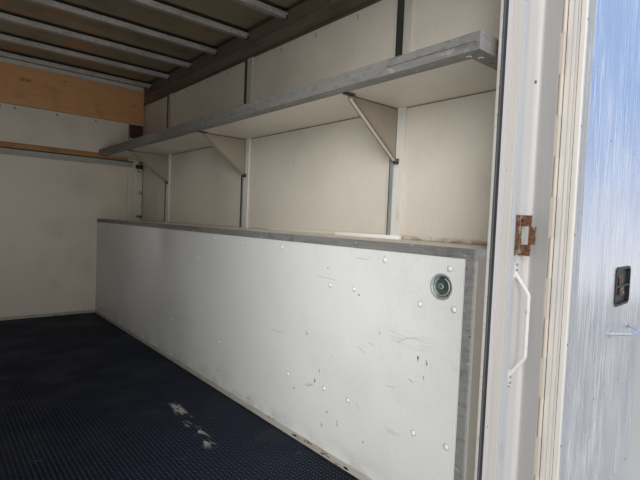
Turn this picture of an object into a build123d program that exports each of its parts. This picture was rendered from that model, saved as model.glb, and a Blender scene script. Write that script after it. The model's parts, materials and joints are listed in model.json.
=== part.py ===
from build123d import *
import math
import os

# Cargo box body of a 12 ft box truck, seen from its rear opening: aluminium
# walls with posts, roof bows, a wooden and white bulkhead, side lockers with a
# shelf above each, a rubber floor mat and twin rear doors that stand open.
# Millimetres. +X is the kerb side, +Y is towards the cab, +Z is up.
# Z = 0 is the underside of the long sills that rest on a truck's chassis.

# Load space
inner_half = 1046.0          # centre line to the side lining
inner_length = 3655.0        # rear frame to bulkhead lining
ceiling_height = 1990.0      # floor mat to the underside of the roof bows
wall_t = 30.0                # whole side wall, skin to lining
fit = 0.3                    # clearance between pieces that slide together

# Underframe and floor
sill_h = 100.0
sill_w = 70.0
sill_spacing = 860.0         # centre to centre, a truck frame's width
sill_wall = 8.0
mount_length = 2800.0        # between the fixing holes of each sill
mount_hole_r = 7.5
cross_h = 76.0
cross_w = 50.0
cross_wall = 6.0
cross_pitch = 406.0
cross_end = 120.0            # first crossmember from each end of the floor
boards_t = 28.0
mat_t = 4.0
floor_z = sill_h + cross_h + boards_t + mat_t
bottom_rail_drop = 108.0     # below the floor mat
bottom_rail_rise = 30.0      # above the floor mat
bottom_rail_proud = 5.0      # outside the wall skin
sill_step = 14.0             # ribs on the outer rail faces

# Side wall posts, measured along the load space from the rear frame
post_pitch = 1219.0
post_first = 620.0           # rear frame to the middle of the first post
post_count = 3
post_w = 80.0
post_proud = 12.0            # inside the lining
groove_w = 24.0
groove_lip = 4.0
groove_depth = 18.0

# Top of the walls and roof
top_rail_drop = 127.0        # ceiling down to the lower edge of the top rail
top_rail_proud = 6.0
bow_h = 34.0
bow_w = 32.0
bow_neck_h = 12.0
bow_neck_w = 14.0
bow_pitch = 406.0
bow_first = 250.0
roof_skin_t = 4.0
roof_edge_r = 18.0

# Bulkhead, heights above the floor mat
lining_t = 18.0
front_wall_t = 26.0
front_corner_r = 22.0
front_corner_w = 40.0        # inboard of the side lining
lower_panel_h = 1294.0
bulkhead_rail_h = 47.0        # above the lower panel
rail_proud = 8.0
wood_strip_h = 50.0           # above the rail
wood_header_h = 304.0         # from the roof bows down
header_proud = 10.0
strip_proud = 12.0
corner_post_w = 135.0
corner_post_proud = 5.0
corner_bead_w = 50.0
corner_bead_proud = 4.0      # in front of the corner post
corner_hole_drop = 7.0        # under the wood header
corner_hole_h = 90.0
corner_hole_depth = 14.0
base_trim_h = 24.0
base_trim_t = 6.0

# Side lockers
locker_depth = 382.0         # side lining to the locker's front face
locker_height = 818.0
panel_t = 18.0
trim_leg = 26.0
trim_t = 2.0
ring_r = 39.0
ring_hole_r = 33.0
ring_from_rear = 102.0
ring_height = 704.0
ring_depth = 14.0
ring_proud = 2.5
ring_floor_t = 2.0
ring_bar_r = 4.0
ring_bar_sunk = 1.0          # under the rim's face
ledge_w = 20.0
ledge_h = 18.0
ledge_length = 900.0

# Shelves above the lockers
shelf_below_strip = 24.0      # underside of the shelf, under the top of the wood strip
shelf_rear_gap = 23.0
shelf_t = 18.0
shelf_edge_h = 50.0
shelf_flange = 55.0
shelf_trim_t = 3.0
bracket_drop = 221.0
bracket_reach = 287.0
bracket_t = 4.0
bracket_flange = 22.0
bracket_nose = 14.0

# Rear frame
frame_t = 4.0                # thickness of its face sheet
post_face_w = 238.0          # edge of the rear opening to the hinge axis
open_drop = 100.0            # ceiling down to the top of the rear opening
hinge_back = 74.0            # hinge axis behind the frame's inner side
hinge_inset = 113.0          # outer side of the body to the hinge axis
ridge_w = 11.0               # hinge axis to the inner side of the ridge
cove_r = 20.0
outer_face_back = 50.0       # rear face outboard of the ridge
outer_corner_r = 30.0
rib_w = 5.0
rib_proud = 2.0
rib_from_edge = (52.0, 66.0, 112.0, 126.0, 138.0)
lip_w = 4.0
lip_proud = 9.0
seal_w = 17.0
seal_proud = 8.0
header_ledge = 12.0
rear_sill_drop = 126.0

# Rear doors: flush panel, a channel for the post's hardware and a hinge profile
leaf_t = 55.0
leaf_start = 16.0            # hinge axis to the hinge edge of the leaf
leaf_gap = 9.0               # between the two closed leaves
leaf_bottom_drop = 122.0     # below the floor mat
leaf_top_over = 70.0         # above the rear opening
profile_w = 22.0
profile_slant = 12.0         # bevel beside the channel, to pass the post's hardware
channel_w = 52.0             # between hinge profile and panel, for handle and keeper
channel_t = 12.0             # thickness of the leaf behind the channel
free_corner_r = 50.0
leaf_corner_r = 5.0
leaf_groove = 3.0
open_angle = 184.0           # from closed to the position in the picture
knuckle_r = 6.0
knuckle_length = 120.0
knuckle_gap = 0.3
strap_t = 3.0
strap_w = 60.0

# Door furniture, heights above the floor mat
latch_from_free = 334.0      # free edge of the leaf to the latch's middle
latch_height = 678.0
latch_w = 210.0
latch_h = 150.0
latch_proud = 4.0
latch_depth = 16.0
latch_rim = 9.0
latch_corner_r = 26.0
latch_bar_r = 5.0
bar_from_free = 213.0        # free edge of the leaf to the nearer foot
bar_length = 266.0
bar_height = 508.0
bar_r = 6.5
bar_stand = 55.0
bar_leg = 70.0               # run of each slanted leg
bar_bend = 30.0
bar_foot_r = 15.0
bar_foot_t = 3.0

# Hardware on the rear posts, heights above the floor mat
handle_from_hinge = 73.0
handle_bottom_h = 400.0
handle_top_h = 782.0
handle_foot = 34.0
handle_rise = 62.0
handle_stand = 44.0
handle_r = 6.0
handle_foot_w = 16.0
handle_foot_t = 3.0
keeper_from_hinge = 64.0
keeper_bottom_h = 801.0
keeper_top_h = 924.0
keeper_flange_w = 27.0
keeper_stand = 38.0
keeper_t = 3.0
keeper_window_h = 54.0
keeper_window_w = 20.0
keeper_tongue = 14.0         # behind the plate

# Marker lamps over the doors
lamp_w = 64.0
lamp_h = 24.0
lamp_t = 12.0
lamp_pitch = 200.0

# Derived places
outer_half = inner_half + wall_t
hinge_half = outer_half - hinge_inset
cove_wall = hinge_half - ridge_w
open_half = hinge_half - post_face_w
open_height = ceiling_height - open_drop
upper_panel_top_h = ceiling_height - wood_header_h
rail_top_h = lower_panel_h + bulkhead_rail_h
strip_top_h = rail_top_h + wood_strip_h
locker_half = inner_half - locker_depth        # centre line to the locker's front face
shelf_bottom_h = strip_top_h - shelf_below_strip
ridge_back = hinge_back - knuckle_r - knuckle_gap  # ridge height, just under the knuckles
leaf_free = hinge_half - leaf_gap / 2          # hinge axis to the free edge
latch_from_hinge = leaf_free - latch_from_free
bar_from_hinge = leaf_free - bar_from_free - bar_length
past_half_turn = math.radians(open_angle - 180)
profile_reach = (leaf_t - leaf_corner_r) * math.cos(past_half_turn) \
    - (leaf_start + leaf_corner_r) * math.sin(past_half_turn) + leaf_corner_r
grip_start = bar_from_hinge + bar_leg + bar_bend * math.tan(math.atan2(bar_stand, bar_leg) / 2)
bar_reach = (leaf_t + bar_stand - bar_bend) * math.cos(past_half_turn) \
    - grip_start * math.sin(past_half_turn) + bar_bend + bar_r
rear_reach = hinge_back + max(profile_reach, bar_reach)
front_reach = inner_length + lining_t + front_wall_t
y_in = (rear_reach - front_reach) / 2          # inner side of the rear frame
y_bulk = y_in + inner_length                   # rear face of the bulkhead lining
y_front = y_bulk + lining_t + front_wall_t
ceiling_z = floor_z + ceiling_height
rail_z = ceiling_z - top_rail_drop
bow_top = ceiling_z + bow_h + bow_neck_h
roof_z = bow_top + roof_skin_t
face_y = y_in - frame_t
hinge_y = y_in - hinge_back
post_ys = [y_in + post_first + i * post_pitch for i in range(post_count)]
leaf_z0 = floor_z - leaf_bottom_drop
leaf_z1 = floor_z + open_height + leaf_top_over
ledge_z = leaf_z1 + header_ledge               # rain ledge over the doors
sides = ((1, "right"), (-1, "left"))


def block(x0, x1, y0, y1, z0, z1):
    """A box between two corners, given in any order."""
    size = Box(abs(x1 - x0), abs(y1 - y0), abs(z1 - z0))
    return Pos((x0 + x1) / 2, (y0 + y1) / 2, (z0 + z1) / 2) * size


def mirrored(shape, side):
    """The shape itself on the right, its mirror image on the left."""
    return shape if side > 0 else mirror(shape, about=Plane.YZ)


def both(shape):
    """Right and left copies as solids that don't touch."""
    return [shape, mirror(shape, about=Plane.YZ)]


def save(name, shapes):
    """One file for each node; a list is kept as separate solids."""
    items = shapes if isinstance(shapes, list) else [shapes]
    solids = [solid for item in items for solid in item.solids()]
    export_step(solids[0] if len(solids) == 1 else Compound(children=solids), f"parts/{name}.step")


def post_cut(extra):
    """Room for the posts that stand proud of the side lining."""
    x0 = inner_half - post_proud - extra
    half = post_w / 2 + extra
    return [block(x0, outer_half, y - half, y + half, floor_z, rail_z) for y in post_ys]


# Underframe

def long_sill():
    x = sill_spacing / 2
    half = sill_w / 2
    outer = block(x - half, x + half, y_in, y_bulk, 0, sill_h)
    hollow = block(x - half + sill_wall, x + half, y_in, y_bulk, sill_wall, sill_h - sill_wall)
    sill = outer - hollow
    middle = (y_in + y_bulk) / 2
    for y in (middle - mount_length / 2, middle + mount_length / 2):
        sill -= Pos(x, y, sill_wall / 2) * Cylinder(mount_hole_r, 2 * sill_wall)
    return sill


def crossmembers():
    z0 = sill_h
    z1 = sill_h + cross_h
    first = y_in + cross_end
    last = y_bulk - cross_end
    count = max(2, round((last - first) / cross_pitch) + 1)
    step = (last - first) / (count - 1)
    members = []
    for i in range(count):
        y = first + i * step
        outer = block(-inner_half, inner_half, y - cross_w / 2, y + cross_w / 2, z0, z1)
        y0 = y - cross_w / 2 + cross_wall
        hollow = block(-inner_half, inner_half, y0, y + cross_w / 2, z0 + cross_wall, z1 - cross_wall)
        members.append(outer - hollow)
    return members


def bottom_rail():
    z0 = floor_z - bottom_rail_drop
    z1 = floor_z + bottom_rail_rise
    x1 = outer_half + bottom_rail_proud
    rail = block(inner_half, x1, y_in, y_front, z0, z1)
    for i in range(3):
        z = z0 + (i + 1) * (z1 - z0) / 4
        rail -= block(x1 - rib_proud, x1, y_in, y_front, z - sill_step / 2, z + sill_step / 2)
    return rail


def floor_boards():
    z0 = sill_h + cross_h
    return block(-inner_half, inner_half, y_in, y_bulk + lining_t, z0, z0 + boards_t)


def floor_mat():
    x = locker_half - base_trim_t
    return block(-x, x, y_in, y_bulk - base_trim_t, floor_z - mat_t, floor_z)


def rear_sill():
    z0 = floor_z - rear_sill_drop
    plate = block(-open_half, open_half, face_y, y_in, z0, floor_z)
    for x in (-open_half / 2, 0, open_half / 2):
        plate -= block(x - open_half / 6, x + open_half / 6, face_y, face_y + rib_proud, z0, z0 + sill_step)
    return plate


# Walls

def side_panels(side):
    edges = [y_in] + [y + s * post_w / 2 for y in post_ys for s in (-1, 1)] + [y_bulk + lining_t]
    z0 = floor_z + bottom_rail_rise
    bays = zip(edges[0::2], edges[1::2])
    return [mirrored(block(inner_half, outer_half, y0, y1, z0, rail_z), side) for y0, y1 in bays]


def wall_post(y, side):
    """Post with a raised inner face and a slot along its forward edge."""
    z0 = floor_z + bottom_rail_rise
    face_x = inner_half - post_proud
    y0 = y - post_w / 2
    y1 = y + post_w / 2
    post = block(face_x, outer_half, y0, y1, z0, rail_z)
    slot_y1 = y1 - groove_lip
    post -= block(face_x, face_x + groove_depth, slot_y1 - groove_w, slot_y1, z0, rail_z)
    return mirrored(post, side)


def top_rail():
    x0 = inner_half - top_rail_proud
    rail = block(inner_half, outer_half, y_in, y_front, rail_z, bow_top)
    rail += block(x0, inner_half, y_in, y_bulk + lining_t, rail_z, bow_top)
    bead = block(outer_half, outer_half + bottom_rail_proud, y_in, y_front, bow_top - top_rail_drop / 2, bow_top)
    return rail + bead


def roof_bows():
    x = inner_half - top_rail_proud
    span = inner_length - bow_first
    count = int(span // bow_pitch) + 1
    bows = []
    for i in range(count):
        y = y_in + bow_first + i * bow_pitch
        web = block(-x, x, y - bow_w / 2, y + bow_w / 2, ceiling_z, ceiling_z + bow_h)
        neck = block(-x, x, y - bow_neck_w / 2, y + bow_neck_w / 2, ceiling_z + bow_h, bow_top)
        bows.append(web + neck)
    return bows


def roof_skin():
    x = outer_half + bottom_rail_proud
    skin = block(-x, x, y_in - frame_t, y_front, bow_top, roof_z)
    corners = skin.edges().filter_by(Axis.Z)
    return fillet(corners, roof_edge_r)


# Bulkhead

def front_wall():
    """Outer front wall, wider between the top rails than between the corner posts."""
    x = inner_half - front_corner_w
    wall = block(-x, x, y_bulk + lining_t, y_front, floor_z - bottom_rail_drop, rail_z)
    return wall + block(-inner_half, inner_half, y_bulk + lining_t, y_front, rail_z, bow_top)


def bulkhead_panel(half, z0, z1, proud=0.0):
    return block(-half, half, y_bulk - proud, y_bulk + lining_t, floor_z + z0, floor_z + z1)


def wood_strip():
    """Strip across the bulkhead, proud of it between the two shelves."""
    strip = bulkhead_panel(bulkhead_edge(), rail_top_h, strip_top_h)
    return strip + bulkhead_panel(locker_half - fit, rail_top_h, strip_top_h, strip_proud)


def bulkhead_edge():
    """Half width of the panels, up to the corner posts."""
    return inner_half - corner_post_w


def front_corner_post():
    """Corner post: lining between panel and side wall, and the rounded outer corner."""
    x0 = bulkhead_edge()
    inner_y = y_bulk + lining_t
    top = floor_z + upper_panel_top_h
    post = block(x0, inner_half, y_bulk, inner_y, floor_z, top)
    face_y0 = y_bulk - corner_post_proud
    locker_z = floor_z + locker_height
    shelf_z0 = floor_z + shelf_bottom_h
    shelf_z1 = shelf_z0 + shelf_edge_h
    post += block(x0, inner_half, face_y0, y_bulk, locker_z, shelf_z0)
    post += block(x0, inner_half, face_y0, y_bulk, shelf_z1, top)
    bead_x = inner_half - (corner_post_w - corner_bead_w) / 2
    bead_y = face_y0 - corner_bead_proud
    post += block(bead_x - corner_bead_w, bead_x, bead_y, face_y0, locker_z, shelf_z0)
    z1 = top - corner_hole_drop
    hole_y = face_y0 + corner_hole_depth
    post -= block(x0 + groove_lip, inner_half - groove_lip, face_y0, hole_y, z1 - corner_hole_h, z1)
    outer_x = inner_half - front_corner_w
    outer = block(outer_x, outer_half, inner_y, y_front, floor_z + bottom_rail_rise, rail_z)
    outer_edge = outer.edges().filter_by(Axis.Z).sort_by(lambda e: e.center().X + e.center().Y)[-1]
    return post + fillet(outer_edge, front_corner_r)


def base_trims():
    """Quarter strips where the locker fronts and the bulkhead meet the floor."""
    x0 = locker_half - base_trim_t
    y1 = y_bulk
    side = block(x0, locker_half, y_in, y1, floor_z - mat_t, floor_z + base_trim_h)
    front = block(-x0, x0, y1 - base_trim_t, y1, floor_z - mat_t, floor_z + base_trim_h)
    return side + mirror(side, about=Plane.YZ) + front


# Side lockers

def ring_place():
    return y_in + ring_from_rear, floor_z + ring_height


def locker_front(side):
    x1 = locker_half + panel_t
    top = floor_z + locker_height - panel_t
    panel = block(locker_half, x1, y_in, y_bulk, floor_z - mat_t, top)
    y, z = ring_place()
    hole = Cylinder(ring_hole_r + fit, 2 * panel_t)
    panel -= Pos(locker_half, y, z) * Rot(0, 90, 0) * hole
    return mirrored(panel, side)


def locker_top():
    z1 = floor_z + locker_height
    top = block(locker_half, inner_half, y_in, y_bulk, z1 - panel_t, z1)
    for cut in post_cut(fit):
        top -= cut
    return top


def locker_end():
    x0 = locker_half + panel_t
    z1 = floor_z + locker_height - panel_t
    return block(x0, inner_half, y_in, y_in + panel_t, floor_z - mat_t, z1)


def locker_trim():
    """Angle over the locker's top edge and down its rear corner."""
    x0 = locker_half - trim_t
    z1 = floor_z + locker_height
    face = block(x0, locker_half, y_in, y_bulk, z1 - trim_leg, z1 + trim_t)
    cap = block(locker_half, locker_half + trim_leg, y_in, y_bulk, z1, z1 + trim_t)
    corner = block(x0, locker_half, y_in, y_in + trim_leg, floor_z + base_trim_h, z1 - trim_leg)
    return face + cap + corner


def locker_ring():
    """Round recessed pull: rimmed cup with a bar across it."""
    y, z = ring_place()
    turn = Pos(locker_half, y, z) * Rot(0, 90, 0)
    rim = Pos(0, 0, -ring_proud / 2) * Cylinder(ring_r, ring_proud)
    cup = Pos(0, 0, ring_depth / 2 - ring_proud) * Cylinder(ring_hole_r, ring_depth)
    inner = ring_hole_r - ring_floor_t
    hollow_depth = ring_depth - ring_floor_t
    hollow = Pos(0, 0, hollow_depth / 2 - ring_proud) * Cylinder(inner, hollow_depth)
    bar_z = ring_bar_r + ring_bar_sunk - ring_proud
    bar = Pos(0, 0, bar_z) * Rot(90, 0, 0) * Cylinder(ring_bar_r, 2 * inner + ring_floor_t)
    return turn * (rim + cup - hollow + bar)


def ledge_strip():
    """Low strip on the locker top, against the side lining between two posts."""
    z0 = floor_z + locker_height
    y0 = post_ys[0] + post_w / 2 + fit
    x1 = inner_half
    return block(x1 - ledge_w, x1, y0, y0 + ledge_length, z0, z0 + ledge_h)


# Shelves

def shelf_panel():
    z0 = floor_z + shelf_bottom_h
    y0 = y_in + shelf_rear_gap
    panel = block(locker_half + shelf_trim_t, inner_half, y0, y_bulk, z0 + shelf_trim_t, z0 + shelf_t)
    for cut in post_cut(fit):
        panel -= cut
    return panel


def shelf_trim():
    """Angle with a tall front edge and a flange under the shelf, also at its rear end."""
    x0 = locker_half
    y0 = y_in + shelf_rear_gap
    z0 = floor_z + shelf_bottom_h
    z1 = z0 + shelf_edge_h
    edge = block(x0, x0 + shelf_trim_t, y0, y_bulk, z0, z1)
    flange = block(x0, x0 + shelf_flange, y0, y_bulk, z0, z0 + shelf_trim_t)
    end_edge = block(x0, inner_half, y0 - shelf_trim_t, y0, z0, z1)
    end_flange = block(x0, inner_half, y0 - shelf_trim_t, y0 + shelf_flange, z0, z0 + shelf_trim_t)
    return edge + flange + end_edge + end_flange


def shelf_bracket(y):
    """Triangular gusset under the shelf with a bent flange along its slope."""
    x1 = inner_half - post_proud
    x0 = x1 - bracket_reach
    z1 = floor_z + shelf_bottom_h
    z0 = z1 - bracket_drop
    points = [(x1, z1), (x0, z1), (x0, z1 - bracket_nose), (x1 - bracket_nose, z0), (x1, z0)]
    outline = make_face(Polyline(*[(x, 0, z) for x, z in points], close=True))
    plate = extrude(outline, bracket_t, dir=(0, 1, 0))
    run = x1 - bracket_nose - x0
    fall = bracket_drop - bracket_nose
    length = math.hypot(run, fall)
    slope = math.degrees(math.atan2(fall, run))
    flange = block(0, length, -bracket_flange, bracket_t, -bracket_t, 0)
    flange = Pos(x0, 0, z1 - bracket_nose) * Rot(0, slope, 0) * flange
    keep = block(x0, x1, -bracket_flange, bracket_t, z0, z1)
    return Pos(0, y, 0) * ((plate + flange) & keep)


# Rear frame

def rear_post_outline():
    """Plan of the rear post: face sheet, cove, hinge ridge and outer corner."""
    cove_x = cove_wall - cove_r
    cove_y = face_y - cove_r
    ridge_y = y_in - ridge_back
    outer_y = y_in - outer_face_back
    corner = outer_corner_r
    edges = [
        Line((open_half, y_in), (open_half, face_y)),
        Line((open_half, face_y), (cove_x, face_y)),
        CenterArc((cove_x, cove_y), cove_r, 0, 90),
        Line((cove_wall, cove_y), (cove_wall, ridge_y)),
        Line((cove_wall, ridge_y), (hinge_half, ridge_y)),
        Line((hinge_half, ridge_y), (hinge_half, outer_y)),
        Line((hinge_half, outer_y), (outer_half - corner, outer_y)),
        CenterArc((outer_half - corner, outer_y + corner), corner, 270, 90),
        Line((outer_half, outer_y + corner), (outer_half, y_in)),
        Line((outer_half, y_in), (open_half, y_in)),
    ]
    return make_face(edges)


def knuckle_spans():
    """Heights of the hinge knuckles: even ones on the post, odd ones on the leaf."""
    count = int((leaf_z1 - leaf_z0) // knuckle_length)
    length = (leaf_z1 - leaf_z0) / count
    return [(leaf_z0 + i * length, leaf_z0 + (i + 1) * length - knuckle_gap) for i in range(count)]


def rear_post(side):
    z0 = floor_z - rear_sill_drop
    post = Pos(0, 0, z0) * extrude(rear_post_outline(), bow_top - z0, dir=(0, 0, 1))
    for x in rib_from_edge:
        x0 = open_half + x
        post += block(x0, x0 + rib_w, face_y - rib_proud, face_y, z0, ledge_z)
    for low, high in knuckle_spans()[0::2]:
        roll = Cylinder(knuckle_r, high - low)
        post += Pos(hinge_half, hinge_y, (low + high) / 2) * roll
        web_y = y_in - ridge_back
        post += block(hinge_half - knuckle_r, hinge_half, hinge_y, web_y, low, high)
    return mirrored(post, side)


def rear_header():
    z0 = floor_z + open_height
    header = block(-open_half, open_half, face_y, y_in, z0, bow_top)
    ledge_x = cove_wall - cove_r
    header += block(-ledge_x, ledge_x, hinge_y, face_y, ledge_z, bow_top)
    return header


def opening_seal():
    """Rubber strip round the rear opening, outside the edging."""
    z0 = floor_z
    z1 = floor_z + open_height
    x0 = open_half + lip_w
    y0 = face_y - seal_proud
    outer = block(-x0 - seal_w, x0 + seal_w, y0, face_y, z0, z1 + lip_w + seal_w)
    inner = block(-x0, x0, y0, face_y, z0, z1 + lip_w)
    return outer - inner


def opening_lip():
    """Thin edging that stands up round the rear opening and holds the seal."""
    z1 = floor_z + open_height
    x1 = open_half + lip_w
    outer = block(-x1, x1, face_y - lip_proud, face_y, floor_z, z1 + lip_w)
    return outer - block(-open_half, open_half, face_y - lip_proud, face_y, floor_z, z1)


# Rear doors, drawn closed on the right and then swung open

def swing(shape, side):
    """Turns a closed right leaf about its hinge to its open place."""
    back = Pos(-hinge_half, -hinge_y, 0) * shape
    turned = Pos(hinge_half, hinge_y, 0) * Rot(0, 0, open_angle) * back
    return mirrored(turned, side)


def leaf_x(distance):
    """X of a point at a distance from the hinge axis along the closed leaf."""
    return hinge_half - distance


def door_frame(side):
    """Hinge profile with grooves down its edge, knuckles and strap."""
    x0 = leaf_x(leaf_start)
    inner_y = hinge_y + leaf_t
    frame = block(x0, x0 - profile_w, hinge_y, inner_y, leaf_z0, leaf_z1)
    bevel_edge = frame.edges().filter_by(Axis.Z).sort_by(lambda e: e.center().Y - e.center().X)[-1]
    frame = chamfer(bevel_edge, profile_slant)
    hinge_edge = frame.edges().filter_by(Axis.Z).sort_by(lambda e: e.center().X + e.center().Y)[-1]
    frame = fillet(hinge_edge, leaf_corner_r)
    for share in (0.3, 0.52):
        y = hinge_y + share * leaf_t
        frame -= block(x0 - leaf_groove, x0, y, y + leaf_groove, leaf_z0, leaf_z1)
    outer = hinge_y - strap_t
    for low, high in knuckle_spans()[1::2]:
        roll = Pos(hinge_half, hinge_y, (low + high) / 2) * Cylinder(knuckle_r, high - low)
        frame += roll + block(leaf_x(0), x0 - profile_w, outer, hinge_y, low, high)
    frame += block(x0, x0 - strap_w, outer, hinge_y, leaf_z0, leaf_z1)
    return swing(frame, side)


def latch_tray(extra, depth):
    """Rounded box for the latch, its faces square to the leaf."""
    w = latch_w + 2 * extra
    h = latch_h + 2 * extra
    tray = Box(w, depth, h)
    tray = fillet(tray.edges().filter_by(Axis.Y), latch_corner_r + extra)
    return tray


def latch_place():
    """Middle of the latch's back, sunk in the inner face of the leaf."""
    return Pos(leaf_x(latch_from_hinge), hinge_y + leaf_t + latch_proud - latch_depth, floor_z + latch_height)


def door_skin(side):
    """Flush panel with rounded free corners, thin along the channel, with a recess for the latch."""
    x0 = leaf_x(leaf_start + profile_w)
    x1 = leaf_x(leaf_start + profile_w + channel_w)
    x2 = leaf_x(leaf_free)
    panel = block(x1, x2, hinge_y, hinge_y + leaf_t, leaf_z0, leaf_z1)
    panel = fillet(panel.edges().filter_by(Axis.Y).sort_by(Axis.X)[:2], free_corner_r)
    panel += block(x0, x1, hinge_y, hinge_y + channel_t, leaf_z0, leaf_z1)
    recess = latch_place() * Pos(0, latch_depth, 0) * latch_tray(fit, 2 * latch_depth)
    return swing(panel - recess, side)


def door_latch(side):
    """Rim and recess of the paddle latch with its bar."""
    body = Pos(0, latch_depth / 2, 0) * latch_tray(0, latch_depth)
    pocket = Pos(0, latch_proud + latch_depth / 2, 0) * latch_tray(-latch_rim, latch_depth)
    bar = Rot(0, 90, 0) * Cylinder(latch_bar_r, latch_w - latch_rim)
    bar = Pos(0, (latch_proud + latch_depth) / 2, 0) * bar
    return swing(latch_place() * (body - pocket + bar), side)


def bent_bar(points, radius, bar_radius):
    """A round bar along straight runs joined by bends, a little long at both ends."""
    first, second = Vector(*points[0]), Vector(*points[1])
    last, before = Vector(*points[-1]), Vector(*points[-2])
    points[0] = first + (first - second).normalized() * bar_radius
    points[-1] = last + (last - before).normalized() * bar_radius
    path = FilletPolyline(*points, radius=radius)
    return sweep(Plane(points[0], z_dir=path.tangent_at(0)) * Circle(bar_radius), path=path)


def door_pull_bar(side):
    """Horizontal pull bar on two feet."""
    y0 = hinge_y + leaf_t
    z = floor_z + bar_height
    y1 = y0 + bar_stand
    xa = leaf_x(bar_from_hinge)
    xb = leaf_x(bar_from_hinge + bar_length)
    points = [(xa, y0, z), (xa - bar_leg, y1, z), (xb + bar_leg, y1, z), (xb, y0, z)]
    bar = bent_bar(points, bar_bend, bar_r)
    bar &= block(xa + bar_foot_r, xb - bar_foot_r, y0, y1 + bar_r, z - bar_r, z + bar_r)
    for x in (xa, xb):
        bar += Pos(x, y0 + bar_foot_t / 2, z) * Rot(90, 0, 0) * Cylinder(bar_foot_r, bar_foot_t)
    return swing(bar, side)


# Hardware on the rear posts

def grab_handle():
    """Bent bar with flattened feet, upright on the rear post."""
    z0 = floor_z + handle_bottom_h
    z1 = floor_z + handle_top_h
    x = hinge_half - handle_from_hinge
    y1 = face_y - handle_stand
    low = z0 + handle_foot
    high = z1 - handle_foot
    points = [
        (x, face_y, low),
        (x, y1, low + handle_rise),
        (x, y1, high - handle_rise),
        (x, face_y, high),
    ]
    bar = bent_bar(points, handle_rise / 3, handle_r)
    bar &= block(x - handle_stand, x + handle_stand, y1 - handle_stand, face_y, z0, z1)
    half = handle_foot_w / 2
    for za, zb in ((z0, low + handle_foot / 2), (high - handle_foot / 2, z1)):
        bar += block(x - half, x + half, face_y - handle_foot_t, face_y, za, zb)
    return bar


def keeper_bracket():
    """Angle bracket with a window and a tongue that stands back from it."""
    z0 = floor_z + keeper_bottom_h
    z1 = floor_z + keeper_top_h
    x1 = hinge_half - keeper_from_hinge - keeper_t
    x0 = x1 - keeper_flange_w
    middle = (z0 + z1) / 2
    half = keeper_window_h / 2
    flange = block(x0, x1, face_y - keeper_t, face_y, z0, z1)
    plate = block(x1, x1 + keeper_t, face_y - keeper_stand, face_y, z0, z1)
    window_y = face_y - keeper_stand / 2
    window = block(x1, x1 + keeper_t, window_y - keeper_window_w / 2, window_y + keeper_window_w / 2,
                   middle - half, middle + half)
    tongue_y = face_y - keeper_stand
    tongue = block(x1, x1 + keeper_t, tongue_y - keeper_tongue, tongue_y, middle - half, middle + half)
    return flange + plate - window + tongue


def rear_lamps():
    """Three marker lamps in the middle of the header."""
    z = (ledge_z + bow_top) / 2
    lamp = Pos(0, hinge_y - lamp_t / 2, z) * Box(lamp_w, lamp_t, lamp_h)
    lamp = fillet(lamp.edges().filter_by(Axis.Y), lamp_h / 3)
    return [Pos(i * lamp_pitch, 0, 0) * lamp for i in (-1, 0, 1)]


def write_parts():
    os.makedirs("parts", exist_ok=True)
    save("long_sills", both(long_sill()))
    save("crossmembers", crossmembers())
    save("bottom_rails", both(bottom_rail()))
    save("floor_boards", floor_boards())
    save("floor_mat", floor_mat())
    save("rear_sill", rear_sill())
    for side, name in sides:
        save(f"side_panels_{name}", side_panels(side))
        save(f"wall_posts_{name}", [wall_post(y, side) for y in post_ys])
        save(f"rear_post_{name}", rear_post(side))
        save(f"locker_front_{name}", locker_front(side))
        save(f"door_frame_{name}", door_frame(side))
        save(f"door_skin_{name}", door_skin(side))
        save(f"door_latch_{name}", door_latch(side))
        save(f"door_pull_bar_{name}", door_pull_bar(side))
    save("rear_header", rear_header())
    save("opening_seal", opening_seal())
    save("opening_lip", opening_lip())
    save("top_rails", both(top_rail()))
    save("roof_bows", roof_bows())
    save("roof_skin", roof_skin())
    save("front_wall", front_wall())
    edge = bulkhead_edge()
    save("bulkhead_lower_panel", bulkhead_panel(edge, -mat_t, lower_panel_h))
    save("bulkhead_rail", bulkhead_panel(edge, lower_panel_h, rail_top_h, rail_proud))
    save("bulkhead_wood_strip", wood_strip())
    save("bulkhead_upper_panel", bulkhead_panel(edge, strip_top_h, upper_panel_top_h))
    header_edge = inner_half - top_rail_proud
    save("bulkhead_wood_header", bulkhead_panel(header_edge, upper_panel_top_h, ceiling_height, header_proud))
    save("front_corner_posts", both(front_corner_post()))
    save("base_trims", base_trims())
    save("locker_tops", both(locker_top()))
    save("locker_ends", both(locker_end()))
    save("locker_trims", both(locker_trim()))
    save("locker_rings", both(locker_ring()))
    save("ledge_strips", both(ledge_strip()))
    save("shelf_panels", both(shelf_panel()))
    save("shelf_trims", both(shelf_trim()))
    save("shelf_brackets", [half for y in post_ys for half in both(shelf_bracket(y))])
    save("grab_handles", both(grab_handle()))
    save("keeper_brackets", both(keeper_bracket()))
    save("rear_lamps", rear_lamps())


write_parts()
print("hinge", hinge_half, round(hinge_y, 3), "y_in", round(y_in, 3), "floor", floor_z, "roof", roof_z)
print("rear", round(y_in - rear_reach, 3), "front", round(y_front, 3), "leaf z", leaf_z0, leaf_z1)
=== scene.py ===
import functools
import json
import math
import random

import bmesh
import bpy
from mathutils import Matrix, Vector

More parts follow.
